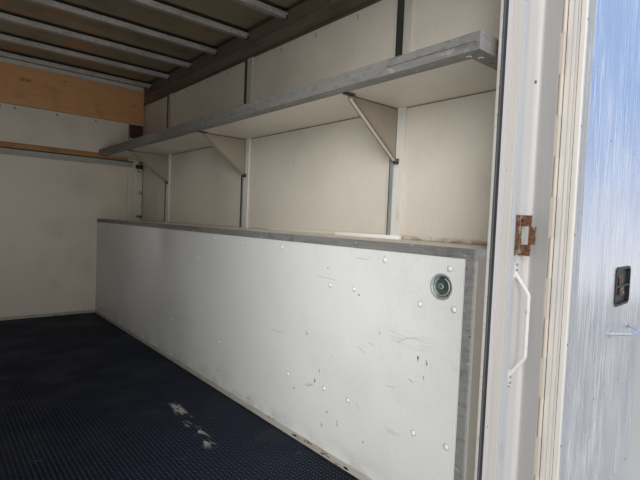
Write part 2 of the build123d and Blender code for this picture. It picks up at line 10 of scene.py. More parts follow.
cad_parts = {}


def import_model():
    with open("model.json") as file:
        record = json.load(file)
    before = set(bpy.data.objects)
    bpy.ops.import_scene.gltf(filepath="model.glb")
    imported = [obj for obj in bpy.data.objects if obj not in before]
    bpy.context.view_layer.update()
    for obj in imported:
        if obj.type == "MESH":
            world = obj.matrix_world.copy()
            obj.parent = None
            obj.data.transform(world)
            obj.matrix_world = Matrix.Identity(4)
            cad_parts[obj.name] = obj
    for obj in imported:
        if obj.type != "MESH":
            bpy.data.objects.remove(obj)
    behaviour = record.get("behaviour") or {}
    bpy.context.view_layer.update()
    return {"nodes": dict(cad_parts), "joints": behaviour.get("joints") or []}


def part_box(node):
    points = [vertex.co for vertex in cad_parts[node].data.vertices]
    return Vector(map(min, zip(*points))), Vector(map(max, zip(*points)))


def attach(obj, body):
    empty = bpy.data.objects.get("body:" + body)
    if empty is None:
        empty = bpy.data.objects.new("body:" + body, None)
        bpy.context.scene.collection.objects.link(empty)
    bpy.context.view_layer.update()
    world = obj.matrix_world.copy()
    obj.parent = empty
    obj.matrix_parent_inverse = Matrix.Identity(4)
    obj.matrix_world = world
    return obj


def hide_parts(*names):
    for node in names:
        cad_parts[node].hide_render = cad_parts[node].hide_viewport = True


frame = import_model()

# Looks of a truck's cargo box: weathered aluminium, cream and white panels,
# bare wood, rubber mat, rust and chrome. Metres, in the frame of the model.

MM = 0.001


def low(node):
    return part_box(node)[0]


def high(node):
    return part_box(node)[1]


# Places read from the frame
face_y = high("opening_lip").y                # rear face of the frame round the opening
y_in = low("locker_tops").y                   # rear end of the load space
y_bulk = low("bulkhead_upper_panel").y        # bulkhead
floor_z = high("floor_mat").z
ceiling_z = low("roof_bows").z
bow_top_z = low("roof_skin").z
rail_z = low("top_rails").z
rail_x = high("roof_bows").x                  # inner face of the top rail
inner_x = high("locker_tops").x               # side lining
outer_x = high("rear_post_right").x
locker_x = low("locker_front_right").x
locker_z = high("locker_tops").z
shelf_z = low("shelf_trims").z
shelf_edge_z = high("shelf_trims").z
shelf_y = low("shelf_trims").y
hinge = Vector(frame["joints"][0]["pos_m"])

# Patterns and fittings; a first is forward of the rear end of the load space
screw_pitch = 0.305
screw_first = 0.290
screw_z = rail_z - 0.021
panel_pitch = 1.219                           # wall posts and roof seams
post_first = 0.660
bracket_first = 0.620
post_count = 3
bracket_reach = 0.287                         # across, from the wall post
bracket_run = 0.273                           # across, of its sloping edge
bracket_drop = 0.207                          # down, of the same
bow_pitch = 0.406
bow_first = 0.250
rib_pitch = 9 * MM
lip_width = 4 * MM
edge_x = high("opening_lip").x - lip_width    # half the width of the rear opening
leaf_t = 55 * MM                              # thickness of the rear doors
leaf_start = 16 * MM                          # hinge axis to the hinge edge of a door
knuckle_reach = 8 * MM                        # the knuckles lie nearer the hinge axis than this
channel_end = 90.8 * MM                       # hinge axis to the far side wall of a door's channel
channel_floor = 14 * MM                       # outer face of a door to just over the channel's floor
channel_foot = 24 * MM                        # and to the top of the pale foot of its side wall
open_past = 4.0                               # degrees past a half turn, doors open
latch_middle = (0.6245, 0.678)                # along the leaf and above the floor

# Places on the locker's face, forward of the rear end of the load space and above the floor, in
# millimetres, worked out from where each shows in the photograph; gouges and scuffs run between
# two of them
locker_bolt_places = (
    (57, 644), (77, 759), (176, 641), (325, 762), (462, 647), (588, 645), (901, 765), (1495, 767),
    (1684, 649), (2091, 768), (2720, 775), (2851, 647), (3048, 646), (59, 245), (177, 241), (467, 249),
    (597, 252), (824, 244), (1416, 243), (1688, 363), (2023, 241), (2628, 236), (2877, 244), (3030, 252),
)
locker_nick_places = (
    (2220, 99), (1417, 98), (1123, 47), (1189, 754), (2484, 545), (711, 435), (604, 707), (651, 265),
    (780, 198), (575, 170), (602, 110), (517, 141), (436, 630), (173, 476), (139, 466), (385, 131),
)
locker_gouge_lines = (
    (176, 482, 172, 465), (143, 477, 139, 462), (151, 427, 146, 416), (204, 403, 189, 396),
    (652, 279, 657, 256), (664, 248, 696, 232), (718, 448, 707, 432), (331, 524, 334, 515),
    (627, 318, 628, 303), (521, 158, 515, 136), (603, 121, 600, 104), (1424, 100, 1407, 92),
    (2228, 109, 2207, 94), (777, 205, 782, 194),
)
locker_scuff_lines = (
    (259, 506, 221, 525), (221, 525, 180, 538), (298, 353, 257, 358), (289, 218, 228, 212),
    (281, 210, 248, 207), (426, 258, 411, 237), (429, 452, 394, 437), (380, 477, 355, 472),
    (457, 757, 398, 757), (661, 671, 551, 666), (716, 228, 676, 250), (956, 402, 871, 406),
)
# Stretches of grime on the trim at the locker's foot: forward from and to, up from and to
base_grime_places = ((731, 770, 9, 17), (648, 696, 12, 22), (545, 590, 8, 20), (444, 470, 6, 13))
trim_screw_pitch = 610
trim_screw_places = [(103 + trim_screw_pitch * i, 803) for i in range(6)] + [(21, 765), (21, 386)]
bulkhead_screw_places = (49, 339, 635)        # across, in millimetres
bulkhead_screw_up = 1659 * MM
fascia_rivet_places = ((231, 1399), (760, 1383), (1460, 1383), (2160, 1383), (2860, 1383), (3460, 1383))
# Under the shelf: outward from the locker's face and forward from the shelf's end
shelf_rivet_places = ((34, 54), (64, 34))

# Places on the inner side of a rear door: along it and above the floor, in millimetres
profile_rivets_up = (228, 539, 871, 1192, 1503, 1820)
skin_rivet_places = (
    (339, 1195), (668, 1193), (339, 300), (668, 300), (945, 1190), (945, 750), (945, 300), (930, -30),
    (860, -90), (700, -105), (400, -105), (140, -105),
)

# Directions
inward = (-1, 0, 0)
outward = (1, 0, 0)
rearward = (0, -1, 0)
downward = (0, 0, -1)


# Materials

def linear(rgb):
    """Linear colour of an sRGB triple from 0 to 255."""
    shares = [c / 255 for c in rgb]
    return (*[c / 12.92 if c <= 0.04045 else ((c + 0.055) / 1.055) ** 2.4 for c in shares], 1.0)


class Surface:
    """A node material built in layers: a base, then marks laid over it through masks."""

    def __init__(self, name, colour, roughness, metallic=0.0, edge=0.0):
        self.material = bpy.data.materials.new(name)
        self.material.use_nodes = True
        self.nodes = self.material.node_tree.nodes
        self.links = self.material.node_tree.links
        self.shader = self.nodes["Principled BSDF"]
        self.shader.inputs["Base Color"].default_value = linear(colour)
        self.shader.inputs["Roughness"].default_value = roughness
        self.shader.inputs["Metallic"].default_value = metallic
        self.material.diffuse_color = linear(colour)
        self.point = self.nodes.new("ShaderNodeTexCoord").outputs["Object"]
        split = self.nodes.new("ShaderNodeSeparateXYZ")
        self.links.new(self.point, split.inputs[0])
        self.axes = dict(zip("xyz", split.outputs))
        self.away = self.math("ABSOLUTE", self.axes["x"])   # from the centre line
        if edge:
            bevel = self.bevel(edge * MM)
            self.links.new(bevel, self.shader.inputs["Normal"])

    def math(self, operation, *values):
        node = self.nodes.new("ShaderNodeMath")
        node.operation = operation
        for socket, value in zip(node.inputs, values):
            if isinstance(value, bpy.types.NodeSocket):
                self.links.new(value, socket)
            else:
                socket.default_value = value
        return node.outputs[0]

    def spread(self, factor, start, end):
        """The factor from start to end as a mask from 0 to 1."""
        node = self.nodes.new("ShaderNodeMapRange")
        node.interpolation_type = "SMOOTHSTEP"
        self.links.new(factor, node.inputs["Value"])
        node.inputs["From Min"].default_value = min(start, end)
        node.inputs["From Max"].default_value = max(start, end)
        node.inputs["To Min"].default_value = 0.0 if start < end else 1.0
        node.inputs["To Max"].default_value = 1.0 if start < end else 0.0
        return node.outputs["Result"]

    def texture(self, kind, size, stretch, location):
        """A texture with features of that size in metres, drawn out along an axis by stretch."""
        place = self.nodes.new("ShaderNodeMapping")
        place.inputs["Location"].default_value = location
        place.inputs["Scale"].default_value = [1 / (size * s) for s in stretch]
        self.links.new(self.point, place.inputs["Vector"])
        node = self.nodes.new(kind)
        node.inputs["Scale"].default_value = 1.0
        self.links.new(place.outputs[0], node.inputs["Vector"])
        return node

    def noise(self, size, stretch=(1, 1, 1), detail=4.0, seed=0.0):
        node = self.texture("ShaderNodeTexNoise", size, stretch, (seed, seed * 0.7, -seed))
        node.inputs["Detail"].default_value = detail
        node.inputs["Roughness"].default_value = 0.55
        return node.outputs[0]

    def cells(self, size, stretch=(1, 1, 1), seed=0.0):
        """Distance to the nearest of scattered points, from 0 at a point."""
        return self.texture("ShaderNodeTexVoronoi", size, stretch, (seed, -seed, seed)).outputs["Distance"]

    def cloud(self, size, start, end, stretch=(1, 1, 1), detail=4.0, seed=0.0):
        """Mask of noise, 0 where it is at the start level and 1 where it is at the end level."""
        return self.spread(self.noise(size, stretch, detail, seed), start, end)

    def dots(self, size, start, end, stretch=(1, 1, 1), seed=0.0):
        """Mask of scattered dots, 1 nearer to their points than the end distance."""
        return self.spread(self.cells(size, stretch, seed), start, end)

    def between(self, value, start, end, soft):
        """Mask of 1 from start to end, with soft borders."""
        rise = self.spread(value, start - soft, start + soft)
        fall = self.spread(value, end + soft, end - soft)
        return self.math("MULTIPLY", rise, fall)

    def band(self, axis, start, end, soft=0.01):
        """Mask of 1 between two places along an axis, with soft borders."""
        return self.between(self.axes[axis], start, end, soft)

    def across(self, start, end, soft=0.001):
        """Mask of 1 between two distances from the centre line, on both sides."""
        return self.between(self.away, start, end, soft)

    def aside(self, start, soft=0.001):
        """Mask of 1 beyond that distance from the centre line, on both sides."""
        return self.spread(self.away, start - soft, start + soft)

    def less(self, mask):
        return self.math("SUBTRACT", 1.0, mask)

    def stripes(self, axis, pitch, offset, share, soft):
        """Mask of 1 on stripes at a pitch along an axis; share is how much of the pitch they take."""
        shifted = self.math("DIVIDE", self.math("SUBTRACT", self.axes[axis], offset), pitch)
        away = self.math("ABSOLUTE", self.math("SUBTRACT", self.math("FRACT", shifted), 0.5))
        edge = share / 2
        return self.spread(away, edge + soft / 2, max(edge - soft / 2, 0.0))

    def both(self, *masks):
        return functools.reduce(lambda a, b: self.math("MULTIPLY", a, b), masks)

    def any(self, *masks):
        return functools.reduce(lambda a, b: self.math("MAXIMUM", a, b), masks)

    def lay(self, mask, colour, strength=1.0):
        """Lays a colour over what is there, where the mask is 1."""
        target = self.shader.inputs["Base Color"]
        mix = self.nodes.new("ShaderNodeMix")
        mix.data_type = "RGBA"
        if strength != 1.0:
            mask = self.math("MULTIPLY", mask, strength)
        self.links.new(mask, mix.inputs[0])
        self.pass_on(target, mix.inputs[6])
        mix.inputs[7].default_value = linear(colour)
        self.links.new(mix.outputs[2], target)
        return self

    def blotch(self, colour, strength, *cloud, **more):
        """Lays a colour where the cloud of those measures is."""
        return self.lay(self.cloud(*cloud, **more), colour, strength)

    def pass_on(self, target, socket):
        """Gives a socket what the target had until now, linked or plain."""
        if target.is_linked:
            self.links.new(target.links[0].from_socket, socket)
        else:
            socket.default_value = target.default_value

    def on_leaf(self):
        """Distance from the hinge axis along an open rear door, and through its thickness."""
        turn = math.radians(open_past)
        out = self.math("SUBTRACT", self.away, hinge.x)
        back = self.math("SUBTRACT", self.axes["y"], hinge.y)

        def joined(operation, out_share, back_share):
            shares = self.math("MULTIPLY", out, out_share), self.math("MULTIPLY", back, back_share)
            return self.math(operation, *shares)

        along = joined("ADD", math.cos(turn), math.sin(turn))
        through = joined("SUBTRACT", math.sin(turn), math.cos(turn))
        return along, through

    def metal(self, mask, value):
        """Gives the metallic share that value where the mask is 1."""
        self.blend("Metallic", mask, value)

    def rough(self, mask, value):
        self.blend("Roughness", mask, value)

    def blend(self, socket, mask, value):
        target = self.shader.inputs[socket]
        mix = self.nodes.new("ShaderNodeMix")
        mix.data_type = "FLOAT"
        self.links.new(mask, mix.inputs[0])
        self.pass_on(target, mix.inputs[2])
        mix.inputs[3].default_value = value
        self.links.new(mix.outputs[0], target)

    def relief(self, height, depth):
        """Bump of that depth in metres, over the bumps laid before."""
        node = self.nodes.new("ShaderNodeBump")
        node.inputs["Strength"].default_value = 1.0
        node.inputs["Distance"].default_value = depth
        self.links.new(height, node.inputs["Height"])
        target = self.shader.inputs["Normal"]
        if target.is_linked:
            self.links.new(target.links[0].from_socket, node.inputs["Normal"])
        self.links.new(node.outputs[0], target)

    def bumps(self, depth, *noise, **more):
        """Bumps of that depth in millimetres, where the noise of those measures is."""
        self.relief(self.noise(*noise, **more), depth * MM)

    def bevel(self, radius):
        """Normals as they would be with sharp edges rounded to that radius."""
        node = self.nodes.new("ShaderNodeBevel")
        node.samples = 4
        node.inputs["Radius"].default_value = radius
        return node.outputs[0]

    def edges(self, radius, start=0.02, end=0.25):
        """Mask of 1 along sharp edges, that far in from them."""
        plain = self.nodes.new("ShaderNodeNewGeometry")
        dot = self.nodes.new("ShaderNodeVectorMath")
        dot.operation = "DOT_PRODUCT"
        self.links.new(self.bevel(radius), dot.inputs[0])
        self.links.new(plain.outputs["Normal"], dot.inputs[1])
        return self.spread(self.less(dot.outputs["Value"]), start, end)


def paint_outside(s, outside):
    """Gloss white paint with rain streaks where the mask is 1."""
    s.lay(outside, (226, 227, 224))
    s.lay(s.both(outside, s.cloud(0.05, 0.5, 0.75, (1, 1, 14), seed=12)), (188, 186, 178), 0.25)
    low_dirt = s.spread(s.axes["z"], floor_z + 0.5, floor_z - 0.05)
    s.lay(s.both(outside, low_dirt), (140, 130, 112), 0.4)
    s.rough(outside, 0.3)


def dirt(s, colour, amount, seed=0.0):
    """Cloudy grime with finer specks in it."""
    clouds = s.cloud(0.45, 0.45, 0.75, detail=6, seed=seed)
    s.lay(clouds, colour, amount)
    s.lay(s.both(s.cloud(0.02, 0.5, 0.75, detail=3, seed=seed + 3), clouds), colour, amount)


def scuffs(s, colour, amount, stretch, seed, size, start):
    """Thin marks drawn out along the long direction of stretch."""
    marks = s.cloud(size, start, start + 0.08, stretch, detail=3, seed=seed)
    s.lay(s.both(marks, s.cloud(0.5, 0.42, 0.6, detail=3, seed=seed + 5)), colour, amount)


def lining(name, colour=(219, 212, 199), plain=False):
    """Painted lining: warm white inside with grime and marks, cooler gloss white outside."""
    s = Surface(name, colour, 0.42, edge=1.5)
    s.blotch(tuple(c * 0.945 for c in colour), 0.6, 0.8, 0.35, 0.7, detail=3)
    s.blotch(tuple(c * 0.87 for c in colour), 0.14, 0.012, 0.48, 0.74, (1, 1, 5), seed=11)
    dirt(s, (150, 138, 118), 0.2, seed=2)
    scuffs(s, (128, 118, 104), 0.3, (1, 3, 0.6), 4, 0.01, 0.7)
    specks = s.dots(0.17, 0.022, 0.01, seed=4)
    s.lay(s.both(specks, s.cloud(0.4, 0.48, 0.6, seed=6)), (96, 84, 70), 0.75)
    s.bumps(0.22, 0.006, detail=2, seed=3)
    s.bumps(2.0, 0.25, detail=2, seed=8)
    # Darker along sharp edges: grime, and painted shade in the creases.
    s.lay(s.edges(5 * MM), (112, 100, 84), 0.6)
    if plain:
        return s
    outside = s.aside(inner_x + 5 * MM)
    inside = s.less(outside)
    drips = s.stripes("y", screw_pitch, y_in + screw_first - screw_pitch / 2, 0.03, 0.02)
    under = s.band("z", screw_z - 16 * MM, screw_z - 2 * MM, 5 * MM)
    s.lay(s.both(drips, under, inside), (104, 84, 60), 0.6)
    rear = s.band("y", y_in, y_in + 1.02, 0.03)
    joint = s.band("z", locker_z - 10 * MM, locker_z + 14 * MM, 10 * MM)
    crust = s.cloud(0.022, 0.38, 0.56, (1, 2, 1), seed=6)
    beside = s.aside(inner_x - 30 * MM, 12 * MM)
    s.lay(s.both(joint, crust, inside, rear, beside), (146, 108, 66), 0.7)
    s.lay(s.both(s.band("z", locker_z, locker_z + 4 * MM, 2 * MM), inside, beside), (92, 80, 64), 0.5)
    heap = s.both(s.band("y", y_in + 0.30, y_in + 0.66, 0.06), s.aside(inner_x - 70 * MM, 20 * MM),
                  s.band("z", locker_z - 10 * MM, locker_z + 12 * MM))
    s.lay(s.both(s.dots(0.02, 0.16, 0.06, seed=9), heap, inside), (150, 104, 52), 0.85)
    paint_outside(s, outside)
    return s


def wall_post_paint():
    """Wall posts: painted pale face, darker above the shelf as painted shade, with the slot down the forward
    edge painted dark grey: bare metal in painted shade.
    """
    s = Surface("wall_post_paint", (222, 219, 210), 0.42, edge=1.2)
    s.blotch((200, 195, 184), 0.6, 0.1, 0.42, 0.7, (1, 1, 7), seed=5)
    s.blotch((168, 160, 146), 0.35, 0.012, 0.55, 0.72, (1, 1, 9), seed=9)
    dirt(s, (150, 138, 118), 0.25, seed=7)
    # Darker along sharp edges: grime, and painted shade in the creases.
    s.lay(s.edges(3 * MM), (140, 134, 122), 0.4)
    # Darker above the shelf: painted shade.
    over = s.spread(s.axes["z"], shelf_edge_z - 0.03, shelf_edge_z - 0.02)
    s.lay(over, (150, 144, 134), 0.45)
    # The slot, dark grey with darker streaks: bare metal in painted shade.
    slot = s.across(inner_x - 0.5 * MM, inner_x + 12 * MM, 1 * MM)
    s.lay(slot, (92, 97, 95), 0.97)
    s.lay(s.both(slot, s.cloud(0.03, 0.45, 0.65, (1, 1, 5), seed=3)), (56, 61, 57), 0.7)
    paint_outside(s, s.aside(inner_x + 14 * MM))
    s.bumps(0.25, 0.02, (1, 1, 6), detail=3, seed=2)
    return s


def locker_white():
    """White locker panel with fine upright ribs, smudges and scuffs."""
    s = Surface("locker_white", (226, 226, 223), 0.38, edge=1.5)
    s.blotch((217, 217, 214), 0.6, 0.6, 0.35, 0.7, detail=3, seed=1)
    dirt(s, (164, 162, 156), 0.18, seed=3)
    scuffs(s, (150, 146, 138), 0.3, (1, 4, 0.5), 7, 0.01, 0.68)
    scuffs(s, (124, 120, 114), 0.65, (1, 1.8, 1.4), 21, 0.007, 0.71)
    rubbed_y = s.band("y", y_in + 0.12, y_in + 0.29, 0.02)
    rubbed_z = s.band("z", floor_z + 0.505, floor_z + 0.55, 0.015)
    rubs = s.cloud(0.012, 0.5, 0.6, (1, 5, 0.6), detail=3, seed=31)
    s.lay(s.both(rubbed_y, rubbed_z, rubs), (176, 172, 164), 0.35)
    foot = s.spread(s.axes["z"], floor_z + 0.11, floor_z)
    s.lay(s.both(foot, s.cloud(0.05, 0.4, 0.65, (1, 2, 1), seed=10)), (156, 152, 144), 0.5)
    # Upright ribs, their grooves painted darker: painted shade.
    ribs = s.stripes("y", rib_pitch, y_in, 0.16, 0.2)
    s.lay(ribs, (194, 193, 189), 0.42)
    pits = s.both(s.dots(0.06, 0.045, 0.025, seed=12), s.cloud(0.3, 0.45, 0.6, seed=14))
    s.lay(pits, (112, 106, 98), 0.7)
    s.relief(ribs, -0.3 * MM)
    s.bumps(2.0, 0.3, detail=2, seed=8)
    s.bumps(0.12, 0.004, detail=2, seed=5)
    # The rear end face of the panel painted darker: painted shade.
    s.lay(s.spread(s.axes["y"], y_in + 1.2 * MM, y_in + 0.4 * MM), (150, 144, 134), 0.95)
    return s


def bulkhead_white():
    """Bulkhead lining: greyer white with dents, nicks and long scrapes."""
    s = Surface("bulkhead_white", (223, 213, 198), 0.45, edge=1.5)
    s.blotch((210, 203, 191), 0.6, 0.7, 0.35, 0.7, detail=3, seed=4)
    dirt(s, (150, 141, 126), 0.25, seed=6)
    scuffs(s, (96, 88, 78), 0.6, (2, 1, 1), 11, 0.008, 0.67)
    pits = s.both(s.dots(0.08, 0.045, 0.025, seed=15), s.cloud(0.4, 0.45, 0.6, seed=16))
    s.lay(pits, (84, 76, 66), 0.7)
    scuffs(s, (134, 124, 110), 0.35, (5, 1, 0.6), 14, 0.012, 0.67)
    # Darker along sharp edges: grime, and painted shade in the creases.
    s.lay(s.edges(5 * MM), (96, 86, 72), 0.6)
    s.bumps(2.5, 0.25, detail=2, seed=8)
    s.bumps(0.2, 0.006, detail=2, seed=3)
    return s


def outer_white():
    """Gloss white paint of the outside, streaked by rain."""
    s = Surface("outer_white", (226, 227, 224), 0.3, edge=2)
    s.blotch((178, 176, 166), 0.35, 0.05, 0.5, 0.75, (1, 1, 14), seed=12)
    dirt(s, (150, 142, 126), 0.2, seed=15)
    s.bumps(2.0, 0.4, detail=2, seed=8)
    s.bumps(0.08, 0.004, detail=2, seed=5)
    return s


def roof_brown():
    """Roof skin: white outside with riveted seams, olive brown and blotched inside."""
    s = Surface("roof_brown", (226, 226, 222), 0.35)
    seams = s.stripes("y", panel_pitch, y_in, 0.02, 0.01)
    s.lay(seams, (150, 148, 142), 0.6)
    s.blotch((168, 163, 150), 0.45, 0.4, 0.5, 0.75, detail=6, seed=4)
    s.relief(seams, 1.5 * MM)
    inside = s.spread(s.axes["z"], bow_top_z + 1.5 * MM, bow_top_z + 0.5 * MM)
    s.lay(inside, (132, 122, 100))
    s.lay(s.both(inside, s.cloud(0.3, 0.48, 0.68, (1, 0.7, 1), detail=5, seed=9)), (154, 134, 98), 0.7)
    s.lay(s.both(inside, s.cloud(0.16, 0.5, 0.72, detail=5, seed=13)), (92, 84, 70), 0.6)
    rust_far = s.both(s.band("y", y_in + 2.3, y_bulk, 0.3), s.band("x", -1.1, 0.45, 0.2))
    s.lay(s.both(inside, rust_far, s.cloud(0.2, 0.42, 0.6, seed=15)), (170, 118, 72), 0.7)
    shade = (26, 22, 18)
    bows = s.stripes("y", bow_pitch, y_in + bow_first - bow_pitch / 2, 0.17, 0.05)
    s.lay(s.both(inside, bows), shade, 0.85)
    s.lay(s.both(inside, s.aside(rail_x - 30 * MM, 20 * MM)), shade, 0.8)
    s.rough(inside, 0.55)
    s.bumps(2.0, 0.3, detail=2, seed=2)
    return s


def aluminium(name, colour, roughness, stretch, wear, seed, metallic=0.85):
    """Bare metal with drawing lines along its length, dull patches and bright edges."""
    s = Surface(name, colour, roughness, metallic, edge=0.8)
    s.blotch(wear, 0.45, 0.12, 0.45, 0.7, stretch, detail=5, seed=seed)
    s.blotch(wear, 0.4, 0.018, 0.5, 0.66, [min(v, 3) for v in stretch], detail=5, seed=seed + 8)
    lines = s.noise(0.003, [v * 12 if v > 1 else 1 for v in stretch], detail=3, seed=seed + 2)
    s.lay(s.spread(lines, 0.5, 0.7), wear, 0.3)
    s.lay(s.edges(2.5 * MM), tuple(min(255, c + 30) for c in colour), 0.5)
    s.rough(s.cloud(0.05, 0.4, 0.7, stretch, seed=seed + 4), roughness + 0.18)
    s.relief(lines, 0.06 * MM)
    s.bumps(0.4, 0.08, stretch, detail=2, seed=seed + 6)
    return s


def worn_trim():
    """Zinc-grey edge trims, dented and scratched along their length."""
    s = aluminium("trim_zinc", (148, 147, 144), 0.5, (1, 6, 1), (98, 97, 95), 2, 0.3)
    s.blotch((104, 104, 103), 0.35, 0.006, 0.56, 0.7, (1, 2.5, 1), detail=5, seed=22)
    scratches = s.cloud(0.006, 0.6, 0.68, (1, 14, 1), detail=3, seed=31)
    s.lay(s.both(scratches, s.cloud(0.3, 0.42, 0.56, seed=5)), (78, 78, 78), 0.75)
    s.blotch((196, 198, 200), 0.45, 0.02, 0.6, 0.7, (1, 2, 1), detail=5, seed=12)
    s.lay(s.dots(0.07, 0.06, 0.03, (1, 2, 1), seed=2), (72, 68, 62), 0.6)
    s.bumps(0.5, 0.02, (1, 3, 1), detail=3, seed=14)
    return s


# Bands on the faces of the rear posts: from and to, outward from the edge of the opening, and soft
# border, in millimetres; then colour and strength
post_bands = (
    (10, 60, 6, (208, 202, 202), 0.7),
    (70, 118, 5, (204, 198, 188), 0.55),
    # The bluish band: a painted reflection of pale sky.
    (122, 156, 4, (190, 196, 204), 0.6),
    (166, 215, 12, (214, 213, 212), 0.7),
)


def post_grey():
    """Weathered pale frame metal with long upright streaks, faint bands, one of them a bluish painted
    reflection, a few stains, and painted shade towards the hinge and on the rounded outer corner.
    """
    s = Surface("post_grey", (204, 200, 198), 0.5, metallic=0.1, edge=0.8)
    s.blotch((192, 188, 187), 0.6, 0.16, 0.4, 0.7, (1, 1, 8), seed=5)
    lines = s.noise(0.004, (1, 1, 80), detail=3, seed=3)
    s.lay(s.spread(lines, 0.5, 0.66), (176, 168, 160), 0.4)
    s.blotch((168, 174, 182), 0.4, 0.009, 0.56, 0.7, (1, 1, 50), detail=3, seed=19)
    for start, end, soft, colour, strength in post_bands:
        s.lay(s.across(edge_x + start * MM, edge_x + end * MM, soft * MM), colour, strength)
    # Darker towards the hinge, in the cove: painted shade.
    s.lay(s.aside(hinge.x - 12.5 * MM, 2.5 * MM), (150, 149, 147), 0.85)
    s.blotch((160, 148, 132), 0.35, 0.07, 0.64, 0.78, (1, 1, 2.5), detail=5, seed=17)
    specks = s.dots(0.03, 0.07, 0.03, seed=3)
    s.lay(s.both(specks, s.cloud(0.2, 0.5, 0.6, seed=2)), (120, 104, 88), 0.6)
    bead = s.spread(s.axes["y"], hinge.y + 7.5 * MM, hinge.y + 5.5 * MM)
    s.lay(s.both(s.across(hinge.x - 11.5 * MM, hinge.x + 8 * MM), bead), (204, 192, 178), 0.8)
    s.relief(lines, 0.1 * MM)
    s.bumps(0.1, 0.004, detail=3, seed=6)
    paint_outside(s, s.aside(hinge.x + 9 * MM))
    # The rounded outer corner a little darker, to hold down the key light's highlight there: painted shade.
    rounded = s.aside(outer_x - 32 * MM, 4 * MM)
    s.lay(rounded, (200, 201, 198), 0.9)
    s.rough(rounded, 0.5)
    return s


def edge_lip():
    """Thin bright edging round the rear opening, speckled with rust."""
    s = Surface("edge_lip", (218, 216, 210), 0.4, metallic=0.2)
    s.blotch((138, 124, 106), 0.6, 0.005, 0.56, 0.68, (1, 1, 3), detail=6, seed=3)
    s.blotch((176, 168, 154), 0.5, 0.02, 0.5, 0.7, (1, 1, 4), seed=8)
    s.lay(s.spread(s.axes["y"], face_y - 4.4 * MM, face_y - 5.0 * MM), (62, 66, 70), 0.9)
    s.bumps(0.2, 0.004, (1, 1, 2), detail=3, seed=2)
    return s


def hinge_profile():
    """Extruded edge of the rear doors: cream-white, with fine drawn lines; white outside."""
    s = Surface("hinge_profile", (224, 219, 212), 0.45, metallic=0.1, edge=0.8)
    lines = s.noise(0.0035, (1, 1, 90), detail=3, seed=13)
    s.lay(s.spread(lines, 0.48, 0.64), (196, 184, 170), 0.4)
    s.blotch((208, 206, 208), 0.5, 0.02, 0.5, 0.7, (1, 1, 20), detail=3, seed=4)
    s.blotch((184, 172, 156), 0.3, 0.12, 0.58, 0.74, (1, 1, 4), seed=7)
    along, through = s.on_leaf()
    s.lay(s.spread(along, knuckle_reach + 0.5 * MM, knuckle_reach - 0.5 * MM), (204, 192, 178), 0.8)
    s.relief(lines, 0.15 * MM)
    return s


def rail_brown():
    """Top rail: dull brown-grey inside, painted shade over the metal, with a lighter and a darker band of
    painted light and shade; plain aluminium outside.
    """
    s = Surface("rail_brown", (128, 114, 102), 0.5, metallic=0.3, edge=1)
    # A lighter and a darker band along the inner face: painted light and shade on its steps.
    s.lay(s.band("z", rail_z + 45 * MM, rail_z + 85 * MM, 2 * MM), (138, 124, 116), 0.8)
    s.lay(s.band("z", rail_z - 10 * MM, rail_z + 20 * MM, 2 * MM), (84, 70, 60), 0.8)
    s.blotch((84, 72, 62), 0.6, 0.1, 0.45, 0.7, (1, 6, 1), detail=5, seed=1)
    s.blotch((130, 96, 66), 0.6, 0.06, 0.6, 0.75, (1, 2, 1), detail=5, seed=6)
    corner = s.spread(s.axes["y"], y_bulk - 0.16, y_bulk - 0.02)
    s.lay(s.both(corner, s.cloud(0.03, 0.45, 0.6, detail=5, seed=16)), (150, 92, 50), 0.8)
    outside = s.aside(inner_x + 5 * MM)
    s.lay(outside, (200, 201, 200))
    s.lay(s.both(outside, s.cloud(0.1, 0.45, 0.7, (1, 6, 1), detail=5, seed=3)), (168, 168, 166), 0.6)
    s.bumps(0.4, 0.05, (1, 6, 1), detail=3, seed=4)
    return s


def bow_metal():
    """Galvanised roof bow, pale with grey blooms, darker on its underside and near black at its recessed
    neck, both painted shade.
    """
    s = Surface("bow_metal", (204, 200, 194), 0.45, metallic=0.35, edge=1.5)
    s.blotch((170, 164, 154), 0.6, 0.07, 0.45, 0.65, (2, 1, 1), detail=5, seed=2)
    s.blotch((150, 144, 134), 0.5, 0.012, 0.5, 0.64, (2, 1, 1), detail=5, seed=12)
    s.blotch((128, 108, 84), 0.5, 0.2, 0.62, 0.76, (2, 1, 1), detail=5, seed=7)
    # Darker on the underside: painted shade.
    s.lay(s.spread(s.axes["z"], ceiling_z + 5 * MM, ceiling_z + 1 * MM), (118, 114, 108), 0.55)
    # Near black at the recessed neck: painted shade.
    neck = s.spread(s.axes["z"], ceiling_z + 32.5 * MM, ceiling_z + 34.5 * MM)
    s.lay(neck, (20, 17, 14), 0.95)
    s.bumps(0.3, 0.03, (3, 1, 1), detail=3, seed=5)
    return s


def wood(name, light, dark, along, seed=0.0, board=0.0, strong=1.0):
    """Bare wood with grain along one axis, knots and a worn surface."""
    stretch = {"x": (14, 1, 1), "y": (1, 14, 1)}[along]
    s = Surface(name, light, 0.62, edge=1)
    s.blotch(dark, 0.45 * strong, 0.3, 0.35, 0.7, stretch, seed=seed)
    grain = s.noise(0.007, stretch, detail=6, seed=seed + 1)
    s.lay(s.spread(grain, 0.48, 0.66), dark, 0.6 * strong)
    s.blotch(dark, 0.5 * strong, 0.03, 0.55, 0.72, stretch, detail=3, seed=seed + 2)
    knots = s.dots(0.5, 0.05, 0.015, (1, 1, 0.5), seed=seed + 4)
    s.lay(knots, tuple(c * 0.45 for c in dark), 0.8 * strong)
    s.blotch(tuple(c * 0.7 for c in dark), 0.35, 0.2, 0.54, 0.75, detail=5, seed=seed + 7)
    s.relief(grain, 0.4 * MM)
    if board:
        gaps = s.stripes("x", board, 0.0, 0.03, 0.02)
        s.lay(gaps, (40, 32, 24), 0.9)
        s.relief(gaps, -3 * MM)
    return s


# White track rubbed on the mat: its middle across and forward, its lean, half width and borders
track_x = 0.407
track_y = y_in + 1.341
track_lean = 0.113
track_half = 35 * MM
track_clear = 10 * MM


